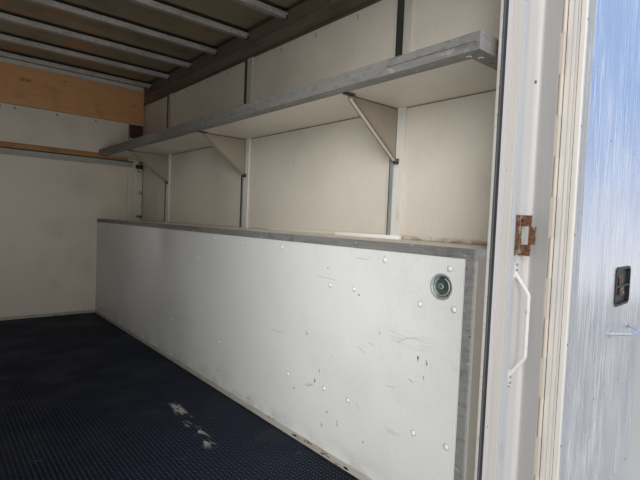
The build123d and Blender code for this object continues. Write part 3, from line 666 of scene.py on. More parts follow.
def rubber_mat():
    """Blue-black rubber with dust and grit, darker in its hollows and pale bluish on its raised tops as
    painted shade and sheen, paler where boots and loads have rubbed.
    """
    s = Surface("rubber_mat", (36, 45, 66), 0.7)
    s.shader.inputs["Specular IOR Level"].default_value = 0.2
    s.blotch((28, 34, 50), 0.7, 0.5, 0.4, 0.7, seed=5)
    # Painted shade in the hollows between the lozenges.
    hollow = s.spread(s.axes["z"], floor_z + 0.8 * MM, floor_z + 0.1 * MM)
    s.lay(hollow, (12, 14, 20), 0.85)
    # Painted sheen, pale bluish, on the lozenges' raised tops.
    ridge = s.spread(s.axes["z"], floor_z + 0.35 * MM, floor_z + 1.0 * MM)
    s.lay(ridge, (82, 94, 120), 0.6)
    s.blotch((104, 106, 110), 0.4, 0.07, 0.66, 0.8, (2, 1, 1), detail=6, seed=8)
    across = s.math("ADD", s.math("MULTIPLY", s.axes["y"], -track_lean), s.axes["x"])
    line = track_x - track_lean * track_y
    track = s.both(s.spread(across, line - track_half, line - track_clear),
                   s.spread(across, line + track_half, line + track_clear),
                   s.band("y", y_in + 0.90, y_in + 1.36, 0.04))
    chalk = s.cloud(0.025, 0.47, 0.6, (1, 3, 1), detail=5, seed=3)
    s.lay(s.both(track, chalk), (164, 162, 158), 0.75)
    dusty = s.both(s.band("x", 0.655, 0.72, 0.02), s.band("y", y_in + 0.36, y_in + 0.82, 0.05))
    s.lay(s.both(dusty, s.cloud(0.02, 0.5, 0.62, detail=5, seed=23)), (120, 112, 98), 0.6)
    grit = s.dots(0.05, 0.04, 0.015, seed=7)
    s.lay(s.both(grit, s.cloud(0.4, 0.5, 0.6, seed=9)), (140, 132, 118), 0.8)
    s.rough(s.cloud(0.3, 0.4, 0.7, detail=3, seed=12), 0.5)
    s.bumps(0.1, 0.002, detail=2, seed=5)
    return s


def rubber_seal():
    s = Surface("rubber_seal", (30, 31, 33), 0.6, edge=2)
    s.blotch((62, 62, 62), 0.5, 0.03, 0.5, 0.7, (1, 1, 8))
    s.blotch((18, 19, 21), 0.6, 0.4, 0.5, 0.7, seed=3)
    s.bumps(0.15, 0.003, detail=2, seed=5)
    return s


def frame_black():
    """Black chassis paint with road dust and rust blooms."""
    s = Surface("frame_black", (44, 44, 46), 0.5, edge=1.5)
    dirt(s, (112, 104, 92), 0.5, seed=2)
    s.blotch((112, 62, 34), 0.7, 0.05, 0.64, 0.76, detail=6, seed=8)
    s.bumps(0.3, 0.01, detail=3, seed=5)
    return s


def chrome_bar():
    s = Surface("chrome_bar", (214, 216, 220), 0.16, metallic=1.0)
    s.blotch((170, 170, 172), 0.5, 0.01, 0.55, 0.7, seed=3)
    s.rough(s.cloud(0.02, 0.45, 0.7, detail=3, seed=6), 0.34)
    s.bumps(0.03, 0.004, detail=2, seed=2)
    return s


def rusty_steel(name="rusty_steel", base=(112, 84, 64)):
    """Steel gone to brown and orange rust, with worn grey left on its edges."""
    s = Surface(name, base, 0.75, metallic=0.15)
    s.blotch((140, 88, 52), 0.8, 0.014, 0.44, 0.62, detail=6, seed=1)
    s.blotch((62, 42, 33), 0.85, 0.008, 0.46, 0.6, detail=6, seed=4)
    s.blotch((172, 164, 152), 0.75, 0.02, 0.57, 0.66, (1, 1, 2), seed=8)
    s.lay(s.edges(3.5 * MM), (184, 176, 162), 0.75)
    s.bumps(0.7, 0.004, detail=5, seed=5)
    return s


def door_metal():
    """Bare door skin inside, brushed upright with fine ripples and scratches; white paint outside."""
    s = Surface("door_metal", (226, 227, 233), 0.24, metallic=0.9, edge=1)
    streaks = s.noise(0.006, (1, 1, 40), detail=5, seed=3)
    fine = s.noise(0.0035, (1, 1, 60), detail=4, seed=23)
    clouds = s.cloud(0.25, 0.3, 0.6, (1, 1, 2), seed=33)
    s.blotch((180, 186, 204), 0.6, 0.01, 0.52, 0.7, (1, 1, 30), seed=16)
    s.blotch((206, 206, 212), 0.5, 0.35, 0.4, 0.7, (1, 1, 1.5), seed=6)
    white = s.both(s.any(s.spread(streaks, 0.52, 0.60), s.spread(fine, 0.55, 0.62)), clouds)
    s.lay(white, (252, 252, 255), 0.85)
    s.blotch((150, 146, 146), 0.6, 0.012, 0.66, 0.74, (1, 1, 3), detail=6, seed=26)
    specks = s.dots(0.09, 0.022, 0.012, seed=5)
    s.lay(specks, (96, 92, 92), 0.8)
    s.metal(white, 0.45)
    s.rough(white, 0.5)
    s.rough(s.cloud(0.2, 0.4, 0.7, (1, 1, 2), seed=8), 0.34)
    s.bumps(0.35, 0.014, (1, 1, 14), detail=3, seed=12)
    s.relief(streaks, 0.1 * MM)
    s.bumps(0.8, 0.12, (1, 1, 2), detail=2, seed=9)
    along, through = s.on_leaf()
    # The channel's side wall tinted pale blue: bare metal with a painted reflection of the sky, like the skin
    # beside it.
    step = s.both(s.spread(along, channel_end + 0.4 * MM, channel_end - 0.4 * MM),
                  s.spread(through, channel_floor - 0.5 * MM, channel_floor + 0.5 * MM))
    s.lay(step, (208, 213, 222), 0.9)
    s.metal(step, 0.5)
    foot = s.both(step, s.spread(through, channel_foot + 0.5 * MM, channel_foot - 0.5 * MM))
    s.lay(foot, (226, 222, 215), 0.95)
    s.metal(foot, 0.1)
    outside = s.spread(through, 1.5 * MM, 0.5 * MM)
    paint_outside(s, outside)
    s.metal(outside, 0.0)
    return s


def handle_white():
    """White paint on the grab handles, chipped to rust at the feet."""
    s = Surface("handle_white", (222, 221, 216), 0.35, edge=1)
    s.blotch((196, 193, 186), 0.6, 0.03, 0.5, 0.7, detail=5, seed=3)
    s.blotch((124, 82, 50), 0.8, 0.012, 0.66, 0.72, detail=6, seed=7)
    s.bumps(0.15, 0.004, detail=3, seed=5)
    return s


def latch_dark():
    s = Surface("latch_dark", (30, 30, 32), 0.5, edge=1.5)
    s.blotch((70, 66, 62), 0.5, 0.02, 0.5, 0.7, detail=5, seed=3)
    s.bumps(0.12, 0.003, detail=3, seed=5)
    return s


def ring_metal():
    """Zinc-plated pull, grey-green with brown stains, dark grey-green in its hollow as painted shade."""
    s = Surface("ring_metal", (190, 198, 194), 0.36, metallic=0.6, edge=0.6)
    s.blotch((136, 146, 142), 0.7, 0.012, 0.45, 0.65, detail=5, seed=3)
    s.blotch((132, 120, 100), 0.6, 0.02, 0.6, 0.72, detail=5, seed=8)
    # Dark grey-green deeper in the cup: painted shade.
    s.lay(s.aside(locker_x + 4 * MM, 3 * MM), (66, 78, 76), 0.85)
    s.bumps(0.12, 0.004, detail=3, seed=5)
    return s


def lamp_red():
    """Ribbed red lens."""
    s = Surface("lamp_red", (176, 22, 20), 0.18)
    s.shader.inputs["Coat Weight"].default_value = 0.5
    ribs = s.stripes("x", 4 * MM, 0.0, 0.5, 0.5)
    s.lay(ribs, (120, 10, 10), 0.6)
    s.blotch((140, 60, 50), 0.35, 0.02, 0.55, 0.7)
    s.relief(ribs, 0.4 * MM)
    return s


def bolt_white():
    s = Surface("bolt_white", (220, 220, 217), 0.4)
    s.blotch((196, 195, 190), 0.6, 0.008, 0.5, 0.7, seed=2)
    s.blotch((140, 124, 104), 0.6, 0.005, 0.62, 0.7, seed=6)
    s.bumps(0.08, 0.003, detail=2)
    return s


# Dark brown for nicks, holes, rivets and pins, and for painted shadow in gaps, pockets and on the doors'
# hinge edges.
def nick_and_shade_dark():
    s = Surface("nick_and_shade_dark", (62, 56, 50), 0.8)
    s.blotch((104, 88, 72), 0.7, 0.003, 0.5, 0.65, seed=2)
    s.bumps(0.1, 0.002, detail=2)
    return s


def spotted(name, colour, roughness, *blotch, **more):
    """A plain surface with blotches of one other colour."""
    return Surface(name, colour, roughness).blotch(*blotch, **more)


def screw_metal():
    s = Surface("screw_metal", (160, 156, 150), 0.4, metallic=0.8)
    s.blotch((110, 96, 80), 0.7, 0.004, 0.5, 0.65, seed=2)
    s.bumps(0.08, 0.002, detail=2)
    return s


# Pieces

def linked(name, data):
    """A new object of the scene that shows the data."""
    made = bpy.data.objects.new(name, data)
    bpy.context.scene.collection.objects.link(made)
    return made


class Piece:
    """Gathers small solids in one mesh, in metres in the frame of the model."""

    def __init__(self):
        self.bm = bmesh.new()

    def block(self, corner_a, corner_b, bevel=0.0, turn=Matrix()):
        """A block between two corners, its edges rounded by the bevel."""
        a = Vector(corner_a)
        b = Vector(corner_b)
        size = Matrix.Diagonal([abs(v) for v in b - a]).to_4x4()
        made = bmesh.ops.create_cube(self.bm, size=1, matrix=turn @ Matrix.Translation((a + b) / 2) @ size)
        if bevel:
            edges = {e for v in made["verts"] for e in v.link_edges}
            bmesh.ops.bevel(self.bm, geom=list(edges), offset=bevel, segments=2, affect="EDGES", profile=0.5)

    def near(self, origin, start, end, bevel=0.0, turn=Matrix()):
        """A block between two places, which are in millimetres from the origin, as is the bevel."""
        a = [o + v * MM for o, v in zip(origin, start)]
        b = [o + v * MM for o, v in zip(origin, end)]
        self.block(a, b, bevel * MM, turn)

    def revolve(self, profile, place, segments=16):
        """Turns a profile of (radius, height) about the Z axis of place; radius 0 closes it."""
        rings = []
        for radius, height in profile:
            if radius == 0:
                rings.append([self.bm.verts.new(place @ Vector((0, 0, height)))])
                continue
            ring = []
            for i in range(segments):
                angle = 2 * math.pi * i / segments
                point = Vector((radius * math.cos(angle), radius * math.sin(angle), height))
                ring.append(self.bm.verts.new(place @ point))
            rings.append(ring)
        for lower, upper in zip(rings, rings[1:]):
            for i in range(segments):
                j = (i + 1) % segments
                if len(lower) == 1:
                    self.bm.faces.new((lower[0], upper[j], upper[i]))
                elif len(upper) == 1:
                    self.bm.faces.new((lower[i], lower[j], upper[0]))
                else:
                    self.bm.faces.new((lower[i], lower[j], upper[j], upper[i]))

    def tube(self, points, radius, segments=10):
        """A round bar through the points, closed at both ends."""
        points = [Vector(p) for p in points]
        rings = []
        side = None
        for i, point in enumerate(points):
            along = (points[min(i + 1, len(points) - 1)] - points[max(i - 1, 0)]).normalized()
            if side is None:
                side = along.orthogonal().normalized()
            side = (side - along * side.dot(along)).normalized()
            other = along.cross(side)
            ring = []
            for k in range(segments):
                angle = 2 * math.pi * k / segments
                offset = side * math.cos(angle) + other * math.sin(angle)
                ring.append(self.bm.verts.new(point + offset * radius))
            rings.append(ring)
        for lower, upper in zip(rings, rings[1:]):
            for k in range(segments):
                m = (k + 1) % segments
                self.bm.faces.new((lower[k], lower[m], upper[m], upper[k]))
        self.bm.faces.new(list(reversed(rings[0])))
        self.bm.faces.new(rings[-1])

    def mirror(self):
        """Adds the mirror image across the centre line."""
        made = bmesh.ops.duplicate(self.bm, geom=self.bm.verts[:] + self.bm.edges[:] + self.bm.faces[:])
        copies = made["geom"]
        for item in copies:
            if isinstance(item, bmesh.types.BMVert):
                item.co.x = -item.co.x
        bmesh.ops.reverse_faces(self.bm, faces=[f for f in copies if isinstance(f, bmesh.types.BMFace)])
        return self

    def place(self, name, surface, slot, body="body", flip=False):
        """Makes the object, gives it its material and lets it ride on its body."""
        if flip:
            for vert in self.bm.verts:
                vert.co.x = -vert.co.x
            bmesh.ops.reverse_faces(self.bm, faces=self.bm.faces[:])
        bmesh.ops.recalc_face_normals(self.bm, faces=self.bm.faces[:])
        sharp = math.radians(40)
        for face in self.bm.faces:
            face.smooth = True
        for edge in self.bm.edges:
            edge.smooth = len(edge.link_faces) == 2 and edge.calc_face_angle(0.0) < sharp
        data = bpy.data.meshes.new(name)
        self.bm.to_mesh(data)
        self.bm.free()
        piece = linked(name, data)
        data.materials.append(surface.material)
        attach(piece, body)


def facing(origin, normal):
    """A place whose Z axis is the normal."""
    turn = Vector(normal).to_track_quat("Z", "Y").to_matrix().to_4x4()
    return Matrix.Translation(Vector(origin)) @ turn


def dome(radius, height):
    """Profile of a domed head, with its foot a millimetre deep in what carries it."""
    steps = 4
    angles = [i * math.pi / 2 / steps for i in range(steps)]
    curve = [(radius * math.cos(angle), height * math.sin(angle)) for angle in angles]
    return [(0, -MM), (radius, -MM)] + curve + [(0, height)]


def screw_head(piece, origin, normal, radius=4.5 * MM, washer=0.0):
    """A low domed screw with a socket in it, on a washer where one shows."""
    place = facing(origin, normal)
    if washer:
        piece.revolve([(0, -MM), (washer, -MM), (washer, 0.8 * MM), (0, 0.8 * MM)], place, 18)
    top = 2.2 * MM
    hollow = radius * 0.4
    profile = [(0, -MM), (radius, -MM), (radius, 0.6 * MM), (radius * 0.75, top * 0.85), (hollow, top),
               (hollow * 0.8, top - 1.2 * MM), (0, top - 1.4 * MM)]
    piece.revolve(profile, place, 12)


def on_locker(forward, up, proud=0.0):
    """Place on the locker's face, forward and up in millimetres, or proud of it in metres."""
    return Vector((locker_x - proud, y_in + forward * MM, floor_z + up * MM))


def locker_fasteners(bolt, nick_and_shade, screw, shadow):
    """Bolts with a shadow ring each, nicks in the paint, and the screws of the trim."""
    bolts = Piece()
    rings = Piece()
    for place in locker_bolt_places:
        at = facing(on_locker(*place), inward)
        bolts.revolve(dome(8.5 * MM, 4.5 * MM), at, 16)
        rings.revolve(dome(9.9 * MM, 0.6 * MM), at, 16)
    bolts.mirror().place("locker_bolts", bolt, "locker_white")
    rings.mirror().place("locker_bolt_rings", shadow, "locker_white")
    nicks = Piece()
    chance = random.Random(7)
    for place in locker_nick_places:
        radius = chance.uniform(2.0, 3.6) * MM
        upright = facing(on_locker(*place), inward) @ Matrix.Diagonal((1, 1.6, 1, 1))
        nicks.revolve(dome(radius, 0.5 * MM), upright, 8)
    nicks.mirror().place("locker_nicks", nick_and_shade, "latch_dark")
    screws = Piece()
    for place in trim_screw_places:
        screw_head(screws, on_locker(*place, 2 * MM), inward)
    screws.mirror().place("locker_trim_screws", screw, "aluminium_plain")


def on_locker_line(ends):
    """Place whose X axis runs along a line on the locker's face, Z out of it, and the line's length."""
    a = on_locker(*ends[:2])
    b = on_locker(*ends[2:])
    along = (b - a).normalized()
    out = Vector(inward)
    turn = Matrix((along, out.cross(along), out)).transposed().to_4x4()
    return Matrix.Translation(a) @ turn, (b - a).length


def locker_scratches(dark, grey):
    """Dark gouges and paler scuffs on the locker's face, and grime on the trim along its foot."""
    for name, lines, width, surface, slot in (
            ("locker_gouges", locker_gouge_lines, 1.8 * MM, dark, "latch_dark"),
            ("locker_scuffs", locker_scuff_lines, 1.2 * MM, grey, "locker_white")):
        marks = Piece()
        for ends in lines:
            turn, length = on_locker_line(ends)
            marks.block((0, -width / 2, -MM), (length, width / 2, 0.25 * MM), turn=turn)
        marks.mirror().place(name, surface, slot)
    grime = Piece()
    front = min(abs(x) for x in coordinates("base_trims", "x"))
    chance = random.Random(17)
    for y0, y1, low_h, high_h in base_grime_places:
        for i in range(9):
            y = y_in + chance.uniform(y0, y1) * MM
            z = floor_z + chance.uniform(low_h, high_h) * MM
            wide = chance.uniform(2, 8) * MM
            tall = chance.uniform(0.8, 2.6) * MM
            grime.block((front - 0.3 * MM, y - wide, z - tall), (front + MM, y + wide, z + tall))
    grime.mirror().place("base_trim_grime", dark, "latch_dark")


def wall_fasteners(screw):
    """Screws along the top of the side lining and of the bulkhead's upper panel."""
    screws = Piece()
    count = int((y_bulk - y_in - screw_first) / screw_pitch) + 1
    for i in range(count):
        y = y_in + screw_first + i * screw_pitch
        screw_head(screws, (inner_x, y, screw_z), inward, 5 * MM)
    for x in bulkhead_screw_places:
        screw_head(screws, (x * MM, y_bulk, floor_z + bulkhead_screw_up), rearward, 5 * MM, 9 * MM)
    screws.mirror().place("lining_screws", screw, "aluminium_plain")


def shelf_fasteners(screw, pale, dark):
    """Rivets on the face of the shelf's trim and under its rear corner."""
    rivets = Piece()
    for place in fascia_rivet_places:
        rivets.revolve(dome(4 * MM, 2 * MM), facing(on_locker(*place), inward), 12)
    rivets.mirror().place("shelf_rivets", screw, "aluminium_plain")
    heads = Piece()
    pins = Piece()
    for aside, forward in shelf_rivet_places:
        place = facing((locker_x + aside * MM, shelf_y + forward * MM, shelf_z), downward)
        heads.revolve(dome(8 * MM, 2.4 * MM), place, 16)
        pins.revolve([(0, 2 * MM), (3.4 * MM, 2 * MM), (3 * MM, 3 * MM), (0, 3 * MM)], place, 10)
    heads.mirror().place("shelf_corner_rivets", pale, "aluminium_plain")
    pins.mirror().place("shelf_corner_pins", dark, "latch_dark")


def coordinates(node, axis):
    """X, Y or Z of every vertex of a node."""
    return [getattr(vert.co, axis) for vert in frame["nodes"][node].data.vertices]


def bow_places():
    """Y of the middle of each roof bow."""
    ends = zip(coordinates("roof_bows", "y"), coordinates("roof_bows", "z"))
    ys = sorted({round(y, 4) for y, z in ends if z < ceiling_z + MM})
    return [(a + b) / 2 for a, b in zip(ys[0::2], ys[1::2])]


def bow_brackets(metal, dark):
    """A small bolted plate where each bow meets the top rail, and there a dark block of painted shadow with
    the plate's screw.
    """
    plates = Piece()
    gaps = Piece()
    for y in bow_places():
        end = (rail_x, y, ceiling_z)
        plates.near(end, (-34, -12, -1.4), (-12, 12, 0.2), 0.5)
        # A dark block of painted shadow in the gap by the rail.
        gaps.near(end, (-11, -18, -1), (0.5, 18, 20))
        screw_head(gaps, (rail_x - 22 * MM, y, ceiling_z - 1.4 * MM), downward, 4.5 * MM)
    plates.mirror().place("bow_end_plates", metal, "aluminium_plain")
    gaps.mirror().place("bow_end_shadows_and_screws", dark, "latch_dark")


def rail_steps(surface):
    """Steps along the inner face of the top rails."""
    steps = Piece()
    y1 = y_bulk - 10 * MM
    for z0, z1, proud in ((0, 16, 7), (58, 66, 4), (94, 104, 6)):
        corner = (rail_x - proud * MM, y_in, rail_z + z0 * MM)
        steps.block(corner, (rail_x + MM, y1, rail_z + z1 * MM), 1 * MM)
    steps.mirror().place("rail_steps", surface, "rail_brown")


def mat_pattern(surface):
    """Raised lozenges of the rubber mat, in two directions by turns."""
    pitch = 16 * MM
    length = 15 * MM
    width = 6 * MM
    height = 1.3 * MM
    lo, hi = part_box("floor_mat")
    margin = 12 * MM
    nx = int((hi.x - lo.x - 2 * margin) / pitch)
    ny = int((hi.y - lo.y - 2 * margin) / pitch)
    x0 = (lo.x + hi.x) / 2 - (nx - 1) * pitch / 2
    y0 = (lo.y + hi.y) / 2 - (ny - 1) * pitch / 2
    verts = []
    faces = []
    base = [(-length / 2, 0), (0, -width / 2), (length / 2, 0), (0, width / 2)]
    ridge = [(-length / 5, 0), (length / 5, 0)]
    for i in range(nx):
        for j in range(ny):
            turn = math.radians(45 if (i + j) % 2 else -45)
            c, s = math.cos(turn), math.sin(turn)
            x = x0 + i * pitch
            y = y0 + j * pitch
            first = len(verts)
            for px, py in base:
                verts.append((x + c * px - s * py, y + s * px + c * py, floor_z - 0.1 * MM))
            for px, py in ridge:
                verts.append((x + c * px - s * py, y + s * px + c * py, floor_z + height))
            a, b, d, e, r, q = range(first, first + 6)
            faces += [(a, b, r), (b, d, q), (b, q, r), (d, e, q), (e, a, r), (e, r, q), (a, e, d, b)]
    data = bpy.data.meshes.new("mat_lozenges")
    data.from_pydata(verts, [], faces)
    piece = linked("mat_lozenges", data)
    data.materials.append(surface.material)
    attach(piece, "body")


def ring_pulls(metal, dark):
    """Round flush pulls: a raised rim, a dished cup, a folding ring and a spindle."""
    lo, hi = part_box("locker_rings")
    radius = (hi.y - lo.y) / 2
    proud = locker_x - min(abs(x) for x in coordinates("locker_rings", "x"))
    place = facing((locker_x, (lo.y + hi.y) / 2, (lo.z + hi.z) / 2), inward)
    depth = 11 * MM
    cup = Piece()
    cup.revolve([
        (0, -depth - 1.5 * MM), (radius - 7 * MM, -depth - 1.5 * MM), (radius - 6.5 * MM, -MM),
        (radius, -MM), (radius, 1.2 * MM), (radius - 1.2 * MM, proud), (radius - 4.5 * MM, proud),
        (radius - 6.5 * MM, 1.2 * MM), (radius - 8 * MM, -2 * MM), (radius - 12 * MM, -depth * 0.8),
        (radius - 18 * MM, -depth), (0, -depth),
    ], place, 48)
    cup.mirror().place("ring_cups", metal, "aluminium_plain")
    ring = Piece()
    count = 40
    major = radius - 13 * MM
    points = []
    for i in range(count + 1):
        angle = math.radians(110) + math.radians(320) * i / count
        points.append(place @ Vector((major * math.cos(angle), major * math.sin(angle), -1.5 * MM)))
    ring.tube(points, 2.6 * MM, 10)
    spindle = place @ Matrix.Translation((-5 * MM, 0, 0))
    ring.revolve([
        (0, -depth), (11 * MM, -depth), (10 * MM, -4 * MM), (7 * MM, -2.5 * MM), (5 * MM, -2.5 * MM),
        (4.5 * MM, -6 * MM), (0, -6 * MM),
    ], spindle, 24)
    ring.mirror().place("ring_handles", metal, "aluminium_plain")
    slot = Piece()
    slot.block((-3 * MM, -9 * MM, -depth), (3 * MM, 9 * MM, -6.5 * MM), 0.8 * MM, spindle)
    slot.mirror().place("ring_slots", dark, "latch_dark")
    for name in ("ring_cups", "ring_handles", "ring_slots"):
        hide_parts("locker_rings")


def leaf_place():
    """For the open right leaf: X runs to its free edge, Y up, Z out of its inner face."""
    turn = math.radians(open_past)
    along = Vector((math.cos(turn), math.sin(turn), 0))
    out = Vector((math.sin(turn), -math.cos(turn), 0))
    place = Matrix((along, Vector((0, 0, 1)), out)).transposed().to_4x4()
    place.translation = Vector((hinge.x, hinge.y, floor_z))
    return place


def on_both_leaves(make, name, surface, slot):
    """Builds a piece on the right leaf and its mirror image on the left one."""
    for body, flip in (("door_right", False), ("door_left", True)):
        piece = Piece()
        make(piece)
        piece.place(f"{name}_{body[5:]}", surface, slot, body, flip)


def leaf_details(dark, worn):
    """Rivets, dark lines of painted shadow down the hinge edge, and the latch paddle on the inner side of the
    rear doors.
    """
    leaf = leaf_place()
    z0 = low("door_skin_right").z - floor_z
    z1 = high("door_skin_right").z - floor_z
    latch_along, latch_up = latch_middle

    def on_face(along, up, sunk=0.0):
        return leaf @ Matrix.Translation((along, up, leaf_t - sunk))

    def rivets(piece):
        for up in profile_rivets_up:
            piece.revolve(dome(3.2 * MM, 1.4 * MM), on_face(24 * MM, up * MM), 10)
        for along, up in skin_rivet_places:
            piece.revolve(dome(2.8 * MM, 1.2 * MM), on_face(along * MM, up * MM), 10)

    # Dark lines of painted shadow down the hinge edge of each door.
    def seams(piece):
        for t, half in ((1.4, 1.5), (38.0, 0.6)):
            near = (leaf_start - 0.4 * MM, z0 + MM, (t - half) * MM)
            far = (leaf_start + 1.5 * MM, z1 - MM, (t + half) * MM)
            piece.block(near, far, turn=leaf)

    def paddle(piece):
        tilt = on_face(latch_along, latch_up + 12 * MM, 4 * MM) @ Matrix.Rotation(math.radians(-5), 4, "X")
        piece.near((0, 0, 0), (-24, -30, -2), (24, 30, 2), 1.5, tilt)
        piece.near((0, 0, 0), (-30, -50, 0), (26, -34, 4), 1.5, tilt)
        for side in (-1, 1):
            foot = on_face(latch_along + side * 75 * MM, latch_up, 8 * MM)
            piece.revolve(dome(4 * MM, 2 * MM), foot, 12)

    on_both_leaves(rivets, "leaf_rivets", dark, "latch_dark")
    on_both_leaves(seams, "leaf_shadow_lines", dark, "rubber_seal")
    on_both_leaves(paddle, "latch_paddle", worn, "rusty_steel")


def joint_lines(dark, brown):
    """Shadow gaps where shelf and panels meet, and the dark pocket beside the bulkhead's header, its back and
    foot dark sheets of painted shade.
    """
    lines = Piece()
    lines.block((inner_x - 2 * MM, y_in + 30 * MM, shelf_z - 1.2 * MM), (inner_x + MM, y_bulk, shelf_z + MM))
    fold_x = locker_x + 55 * MM
    fold = (fold_x, shelf_y + 56 * MM, shelf_z + 2.4 * MM)
    lines.block(fold, (fold_x + 1.5 * MM, y_bulk, shelf_z + 3.2 * MM))
    edge = high("bulkhead_upper_panel").x
    z0 = high("bulkhead_wood_strip").z
    z1 = high("bulkhead_upper_panel").z
    lines.block((edge - MM, y_bulk - 5.6 * MM, z0), (edge + MM, y_bulk + MM, z1))
    lines.block((0, y_bulk - 0.8 * MM, z1 - 2.5 * MM), (edge, y_bulk + MM, z1 + MM))
    lines.mirror().place("joint_lines", dark, "latch_dark")
    wide = (inner_x - edge) / MM
    # Dark sheets of painted shade at the back of the pocket and below it.
    back = Piece()
    back.near((edge, y_bulk, z1), (5, 7, -96), (wide - 5, 9.5, -8))
    back.near((edge, y_bulk, z1), (5, -5.8, -130), (wide - 5, -4, -95))
    back.mirror().place("corner_pocket_shades", dark, "latch_dark")
    slats = Piece()
    for i in range(6):
        corner = (edge + (10 + 20 * i) * MM, y_bulk, z1)
        slats.near(corner, (0, -5, -97), (9, 8, -8), 1)
        slats.near(corner, (0, -6.4, -130), (9, -5, -95))
    slats.mirror().place("corner_pocket_slats", brown, "wood_tan")


def post_channel_shades(dark, grey, cover):
    """Painted shade down the open channel of each wall post: dark strips wide over the shelf, narrower under
    it; on the first post also a grey strip of painted shade under the shelf, and wall cream over its slot.
    """
    shade = Piece()
    pale = Piece()
    paint = Piece()
    over = (shelf_edge_z, rail_z - MM)
    under = (locker_z + 3 * MM, shelf_z - 3 * MM)

    def strip(piece, y, start, end, heights):
        a = (inner_x - 12.6 * MM, y + start * MM, heights[0])
        piece.block(a, (inner_x - 11 * MM, y + end * MM, heights[1]))

    for i in range(post_count):
        y = y_in + post_first + i * panel_pitch
        if i:
            strip(shade, y, -24, 0.5, over)
            strip(shade, y, -14, 0.5, under)
            continue
        strip(shade, y, -50, -11, over)
        strip(paint, y, -11, 0.8, over)
        strip(shade, y, -13, -8, under)
        strip(pale, y, -32, -13, under)
        strip(paint, y, -8, 0.8, under)
    shade.mirror().place("post_channel_shades", dark, "latch_dark")
    pale.mirror().place("post_channel_shaded_faces", grey, "aluminium_plain")
    paint.mirror().place("post_channel_covers", cover, "wall_cream")


def bracket_places():
    """Y of the plate of each shelf bracket."""
    return [y_in + bracket_first + i * panel_pitch for i in range(post_count)]


def bracket_lines(dark, worn):
    """Dark joints round the shelf brackets, and the worn metal at their two ends."""
    joints = Piece()
    ends = Piece()
    reach = bracket_reach / MM
    slope = math.atan2(bracket_drop, bracket_run)
    length = math.hypot(bracket_drop, bracket_run) / MM
    x1 = inner_x - 12 * MM
    for y in bracket_places():
        inner = (x1, y, shelf_z)
        outer = (x1 - bracket_reach, y, shelf_z)
        turn = Matrix.Translation((outer[0], y, shelf_z - 14 * MM)) @ Matrix.Rotation(slope, 4, "Y")
        joints.near((0, 0, 0), (4, -22.4, -4.5), (length - 4, -20.2, -1.5), turn=turn)
        joints.near((0, 0, 0), (4, -1.6, -4.5), (length - 4, 1, 0.8), turn=turn)
        joints.near(outer, (0, -0.8, -3), (reach, 0.5, 0))
        joints.near(inner, (-2.2, -0.8, -205), (0, 0.5, 0))
        ends.near(inner, (-20, -20, -234), (1, -4, -212), 1)
        ends.near(outer, (-32, -22.6, -5), (14, 2, 0.5), 1)
    joints.mirror().place("bracket_joints", dark, "latch_dark")
    ends.mirror().place("bracket_ends", worn, "aluminium_plain")


def bulkhead_corner(metal, dark, pale):
    """Rail carried on to the side wall, its clamp, dark strips of painted shadow in the gap over it and
    beside the cover strip, and the corner's cover strip.
    """
    edge = high("bulkhead_upper_panel").x
    lo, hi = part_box("bulkhead_rail")
    front = low("front_corner_posts").y - 1.2 * MM
    wall_end = (inner_x - 2 * MM, y_bulk - 3 * MM)
    rail = Piece()
    rail.block((edge - MM, y_bulk - 8 * MM, lo.z), (*wall_end, hi.z), 0.5 * MM)
    rail.mirror().place("bulkhead_rail_ends", metal, "aluminium_plain")
    # Dark strips of painted shadow over the rail and beside the cover strip, and the dark clamp.
    gap = Piece()
    gap.block((0, y_bulk - 12.6 * MM, hi.z - 1 * MM), (locker_x - 2 * MM, y_bulk - 7 * MM, hi.z + 9 * MM))
    gap.block((locker_x - 3 * MM, y_bulk - 8.8 * MM, hi.z - 3 * MM), (*wall_end, hi.z + 8 * MM))
    gap.block((inner_x - 4 * MM, front, locker_z), (inner_x - MM, y_bulk - 3 * MM, lo.z))
    gap.block((inner_x - 70 * MM, y_bulk - 14 * MM, lo.z - 8 * MM), (*wall_end, lo.z + 30 * MM), 2 * MM)
    gap.mirror().place("bulkhead_shadows_and_clamp", dark, "latch_dark")
    cover = Piece()
    far = (inner_x - 4 * MM, y_bulk - 3 * MM, lo.z - 8 * MM)
    cover.block((inner_x - 54 * MM, front, locker_z), far, MM)
    cover.mirror().place("corner_cover_strips", pale, "aluminium_plain")


def outer_handles(black_plate, bright_lever):
    """Flush paddle handle on the outside of each rear door."""
    leaf = leaf_place()
    latch_along, latch_up = latch_middle

    def plate(piece):
        piece.near((latch_along, latch_up, 0), (-85, -60, -4), (85, 60, 0.5), 2, leaf)

    def lever(piece):
        piece.near((latch_along, latch_up, 0), (-60, -38, -9), (45, 38, -3), 2.5, leaf)
        place = leaf @ Matrix.Translation((latch_along + 66 * MM, latch_up, -4 * MM))
        lock = place @ Matrix.Rotation(math.pi, 4, "X")
        piece.revolve(dome(9 * MM, 3 * MM), lock, 20)

    on_both_leaves(plate, "outer_handle_plate", black_plate, "latch_dark")
    on_both_leaves(lever, "outer_handle_lever", bright_lever, "aluminium_plain")


def ledge_blocks(white):
    """Short white block that lies on each locker in front of the first wall post."""
    blocks = Piece()
    blocks.near((inner_x - 12 * MM, y_in, locker_z), (-24, 565, -1), (-2, 955, 15), 2)
    blocks.mirror().place("ledge_blocks", white, "aluminium_plain")


